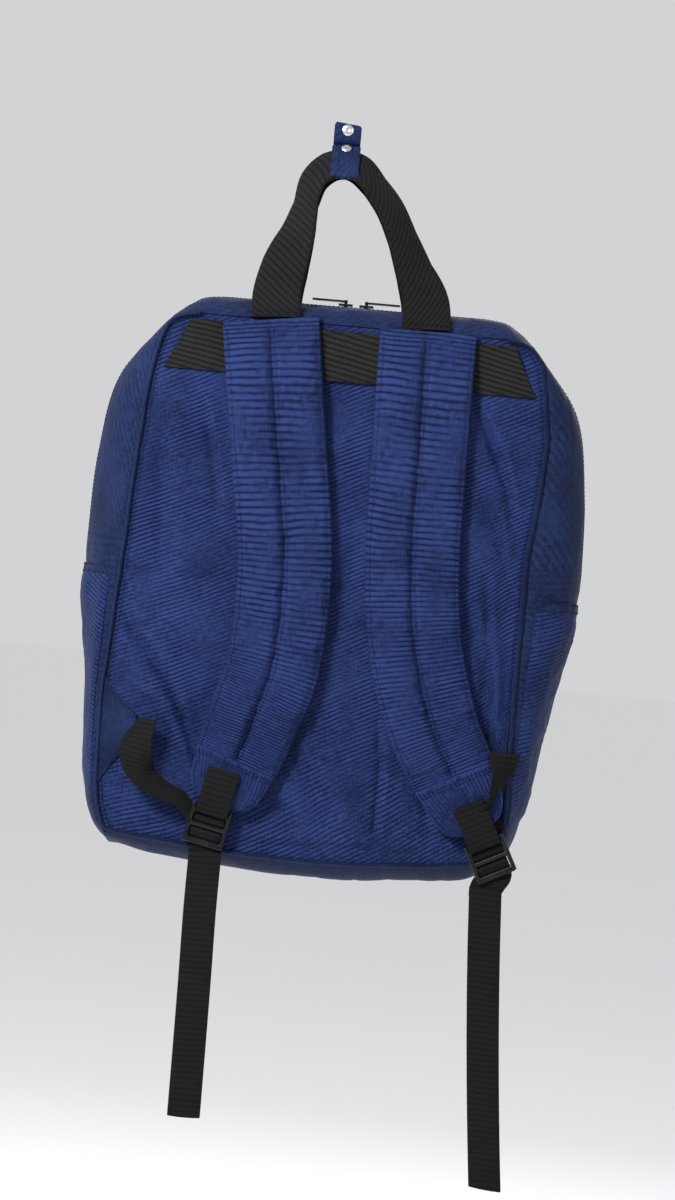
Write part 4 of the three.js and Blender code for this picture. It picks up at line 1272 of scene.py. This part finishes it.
def adjuster(prefix, points, turns, split):
    """The webbing from the side tab to the buckle, which follows the strap when it swings."""
    def turn(share):
        return between(turns, share)
    width = STRAP_WEBBING_WIDTH - 0.4
    upper = ribbon(points, width, WEBBING, 60, turn, None, 0.0, split)
    lower = ribbon(points, width - 0.4, WEBBING, 24, turn, None, split - 0.02, 1.0)
    made = make(f"{prefix}_adjuster_webbing", upper, webbing,
                stands_for=[f"{prefix}_adjuster_webbing"])
    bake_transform(made)
    lead = make(f"{prefix}_adjuster_lead", lower, webbing)
    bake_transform(lead)


def tail(prefix, points):
    """The free end of the webbing, hanging below the buckle. Its last stretch is a sewn fold."""
    route = curve(points, np.linspace(0, 1, 90))
    sway = route.copy()
    sway[:, 1] += 0.9 * noise(route + 5, (50, 50, 60)) * smooth_step(0, 0.1, np.linspace(0, 1, 90))
    fold_back = 14
    bottom = sway[-1]
    turn = np.linspace(0, math.pi, 7)[1:]
    curl = bottom + np.stack([0 * turn, 0.95 * (1 - np.cos(turn)), -0.95 * np.sin(turn)], -1)
    back = curl[-1] + np.outer(np.linspace(0, 1, 8)[1:], (sway[-9] - bottom) / 14 * fold_back)
    path = np.concatenate([sway, curl, back])
    along = tangents(path)
    side = np.tile([1.0, 0, 0], (len(path), 1))
    lean = tangents(route)[:, [0]]
    side[:90, 2] = -lean[:, 0]
    side[90:, 2] = -lean[-1, 0]
    side /= np.linalg.norm(side, axis=1, keepdims=True)
    normal = np.cross(side, along)
    form = sweep(path, side, normal, [web_profile(STRAP_WEBBING_WIDTH, WEBBING, 0.6)] * len(path))
    body = f"tail_{prefix}"
    made = stand_in(f"{prefix}_webbing_tail", form, webbing, body)
    rows = []
    for rise in (3.5, 9.0):
        ends = [bottom + (x, -WEBBING / 2 - 0.15, rise) for x in (-10.5, 10.5)]
        rows.append(stitches(np.linspace(ends[0], ends[1], 20), (0, -1, 0), 2.4, 0.36))
    sewn = make(f"{prefix}_tail_stitches", joined(rows), black_thread, body)


# ---------------------------------------------------------------- handles and their wrap


def handle(name, root_y, top_y, body):
    height = HANDLE_LINE[7][1] - HANDLE_LINE[0][1]
    points = [[x, root_y + (top_y - root_y) * (z - HANDLE_LINE[0][1]) / height, z] for x, z, _ in HANDLE_LINE]
    places = np.linspace(0, 1, len(HANDLE_LINE))
    turns = [degrees for _, _, degrees in HANDLE_LINE]
    form = ribbon(points, lambda share: between(HANDLE_WIDTH, share), HANDLE_THICKNESS, 170,
                  lambda share: np.interp(share, places, turns),
                  lambda share: 2.6 * np.sin(np.pi * np.clip(share, 0, 1)) ** 0.7)
    stand_in(name, form, handle_webbing, body)


def handle_root(name, x, y, face, body):
    """A bar of stitches across the webbing, where the webbing runs down to the seam."""
    rows = []
    for rise in (1.2, 5.2):
        line = np.linspace((x - 17.5, y, 413.5 + rise), (x + 17.5, y, 413.5 + rise), 30)
        rows.append(stitches(line, (0, face, 0), 2.6, 0.4))
    make(name, joined(rows), black_thread, body)


GRIP = Matrix.Translation((-18, -HANDLE_TOP_Y, 540)) @ Matrix.Rotation(math.radians(-36), 4, "X")
FLAP_FOLD = Vector((0, -6.7, 17.8))
SNAP_DROP = 7


def handle_wrap():
    """A soft cloth sleeve round the back handle, drawn in a little at both ends."""
    along = np.linspace(-1, 1, 40)
    turn = full_turn(56)
    rings = []
    for share in along:
        draw = 1 - 0.25 * abs(share) ** 6
        up = np.sign(np.cos(turn)) * np.abs(np.cos(turn)) ** 0.5 * 17 * (0.93 + 0.07 * draw)
        out = np.sign(np.sin(turn)) * np.abs(np.sin(turn)) ** 0.6 * 3.6 * draw
        rings.append(np.stack([np.full(56, share * 11), out, up], -1))
    grid = np.array(rings)
    centre = grid * (0, 1, 1)
    outward = centre / np.linalg.norm(centre, axis=-1, keepdims=True)
    relief = 0.5 * noise(grid + 3, (5, 9, 9)) + 0.3 * ridges(grid, (3.5, 20, 12)) - 0.3
    grid += outward * relief[..., None]
    stand_in("handle_wrap", placed(tube(grid), GRIP), painted_shade_cloth, "back_handle")


def wrap_flap():
    """The flap that buttons over both handles. It stands open, and bends at its fold."""
    fold = GRIP @ FLAP_FOLD
    start = GRIP @ Vector((0, -1.2, 17.2))
    rows, columns = 40, 26
    share = np.linspace(0, 1, rows)
    beyond = [fold + Vector((0, y, z)) for y, z in ((-0.2, -0.2), (-0.3, 5), (0.4, 9), (1.1, 12))]
    spine = curve([start, (start + fold) / 2 + Vector((0, -0.6, -0.4)), *beyond], share)
    grid = np.zeros((rows, columns, 3))
    for row in range(rows):
        across = np.linspace(-1, 1, columns)
        rounded = 1 - 0.12 * smooth_step(0.8, 1, share[row]) ** 2
        x = across * 10.4 * rounded
        slant = -1.0 * across * smooth_step(0.5, 1, share[row])
        grid[row] = spine[row] + np.stack([x, 0.8 * across**2 - 0.4, slant], -1)
    grid += normals_of(grid) * (0.25 * noise(grid, (6, 6, 5)))[..., None]
    made = make("wrap_flap", shell(grid, 1.5), painted_shade_cloth, stands_for=["wrap_flap"])
    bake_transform(made)


def snap(name, radius, matrix, body):
    """One half of the snap: a turned metal cap with a rolled rim and a dimple."""
    shares = [[0.5, 0], [0.97, 0], [1, 0.25], [0.97, 0.6], [0.86, 0.85], [0.7, 1.1], [0.55, 1.3],
              [0.38, 1.35], [0.25, 1.15], [0.1, 1.05]]
    profile = [[radius * share, rise] for share, rise in shares]
    outward = matrix @ Matrix.Rotation(math.pi / 2, 4, "X")
    stand_in(name, placed(lathe(profile, 40), outward), steel, body)


# ---------------------------------------------------------------- sliders, pulls


def refine(node, material, edge):
    """A CAD piece of the right shape gets its finish, soft edges and smooth shading."""
    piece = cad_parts[node]
    piece.data.materials.clear()
    piece.data.materials.append(material)
    modified(piece, "WELD", merge_threshold=0.00002)
    modified(piece, "BEVEL", width=edge * MM, segments=3, limit_method="ANGLE",
             angle_limit=math.radians(SHARP_ANGLE))
    modified(piece, "WEIGHTED_NORMAL", keep_sharp=False)


def refine_sliders():
    for prefix in ("left", "right"):
        refine(f"{prefix}_zip_slider", plastic, 0.35)
        refine(f"{prefix}_zip_pull", plastic, 0.3)
    refine("pocket_zip_slider", plastic, 0.35)
    refine("pocket_zip_pull", plastic, 0.3)


def build_bag():
    back_panel()
    foam_sheet()
    trim_band()
    piping("back_piping", CORNER_STATION, False, -1, "bag")
    piping("front_piping", FOLD_STATION - FOLD_SLIT, False, 1, "bag")
    piping("lid_piping", FOLD_STATION + FOLD_SLIT, True, 1, "lid")
    gusset(-1, "rear_gusset", "bag", [f"rear_gusset_{part}" for part in ("left", "top", "right")])
    gusset(1, "front_gusset", "lid", [f"front_gusset_{part}" for part in ("left", "top", "right")])
    zip_half(-1, "rear", "bag")
    zip_half(1, "front", "lid")
    for prefix, side in (("left", -1), ("right", 1)):
        side_wall(prefix, side)
        side_pocket(prefix, side)
        anchor_tab(prefix, side)
    front_panel()
    bottom_panel()
    front_pocket()


def build_harness():
    sides = (("left", LEFT_STRAP, (-75.5, 35), 12, 20, LEFT_TAIL),
             ("right", RIGHT_STRAP, (132.5, 28), -27, 900, RIGHT_TAIL))
    for prefix, points, bar, tilt, seed, free_end in sides:
        strap_cover(prefix, points, seed)
        strap_lining(prefix, points)
        strap_foam(prefix, points)
        strap_stitches(prefix, points, seed)
        place = end_frame(bar, tilt)
        end_webbing(prefix, place)
        buckle(prefix, place)
        threaded_webbing(prefix, place, free_end[0])
    adjuster("left", LEFT_ADJUSTER, LEFT_TURNS, 0.82)
    adjuster("right", RIGHT_ADJUSTER, RIGHT_TURNS, 0.8)
    tail("left", LEFT_TAIL)
    tail("right", RIGHT_TAIL)


def build_handles():
    handle("back_handle", BACK_ROOT_Y, -HANDLE_TOP_Y, "back_handle")
    handle("front_handle", FRONT_ROOT_Y, HANDLE_TOP_Y, "front_handle")
    for end, x in (("left", -60), ("right", 55)):
        handle_root(f"back_handle_stitches_{end}", x, BACK_ROOT_Y - 1.35, -1, "back_handle")
        handle_root(f"front_handle_stitches_{end}", x, FRONT_ROOT_Y + 1.35, 1, "front_handle")
    handle_wrap()
    wrap_flap()
    snap("snap_stud", 4, GRIP @ Matrix.Translation((0, -4.3, FLAP_FOLD.z - SNAP_DROP)), "back_handle")
    standing = Matrix.Translation(GRIP @ FLAP_FOLD)
    snap("snap_cap", 4.4, standing @ Matrix.Translation((0, -1.1, SNAP_DROP)), "wrap_flap")


build_bag()
build_harness()
build_handles()
refine_sliders()

# ---------------------------------------------------------------- camera, light and floor

PICTURE_HEIGHT = 0.912           # real height that the picture spans at the harness
PICTURE_MIDDLE = Vector((0.0235, -0.045, -0.3231))
CAMERA_DISTANCE = 2.4
LEAN = math.radians(5)


def add_camera():
    data = bpy.data.cameras.new("camera")
    data.sensor_width = 36
    data.lens = data.sensor_width * CAMERA_DISTANCE / PICTURE_HEIGHT
    camera = bpy.data.objects.new("camera", data)
    right = Vector((math.cos(LEAN), 0, math.sin(LEAN)))
    up = Vector((-math.sin(LEAN), 0, math.cos(LEAN)))
    back = Vector((0, -1, 0))
    turn = Matrix((right, up, back)).transposed().to_4x4()
    camera.matrix_world = Matrix.Translation(PICTURE_MIDDLE + back * CAMERA_DISTANCE) @ turn
    bpy.context.scene.collection.objects.link(camera)
    bpy.context.scene.camera = camera


def add_area_light(name, place, size, power, aim=(0.02, 0, -0.3)):
    data = bpy.data.lights.new(name, "AREA")
    data.shape = "DISK"
    data.size = size
    data.energy = power
    light = bpy.data.objects.new(name, data)
    light.location = place
    light.rotation_euler = (Vector(aim) - Vector(place)).to_track_quat("-Z", "Y").to_euler()
    bpy.context.scene.collection.objects.link(light)


def add_stage():
    bpy.ops.mesh.primitive_plane_add(size=60, location=(0, 0, cad_low.z - 0.3))
    floor = bpy.context.object
    floor.name = "floor"
    material, _, shader = new_material("floor_paint")
    shader.inputs["Base Color"].default_value = (0.96, 0.96, 0.96, 1)
    shader.inputs["Roughness"].default_value = 0.6
    floor.data.materials.append(material)
    world = bpy.data.worlds.new("studio")
    world.use_nodes = True
    world.node_tree.nodes["Background"].inputs["Color"].default_value = (0.93, 0.93, 0.95, 1)
    world.node_tree.nodes["Background"].inputs["Strength"].default_value = 0.7
    bpy.context.scene.world = world
    bpy.context.scene.view_settings.view_transform = "Standard"


add_camera()
add_stage()
add_area_light("key", (-0.9, -1.3, 0.6), 0.4, 70)
add_area_light("fill", (1.3, -1.2, 0.2), 1.4, 6)
add_area_light("rim", (0.4, 1.5, 0.3), 1.2, 8)
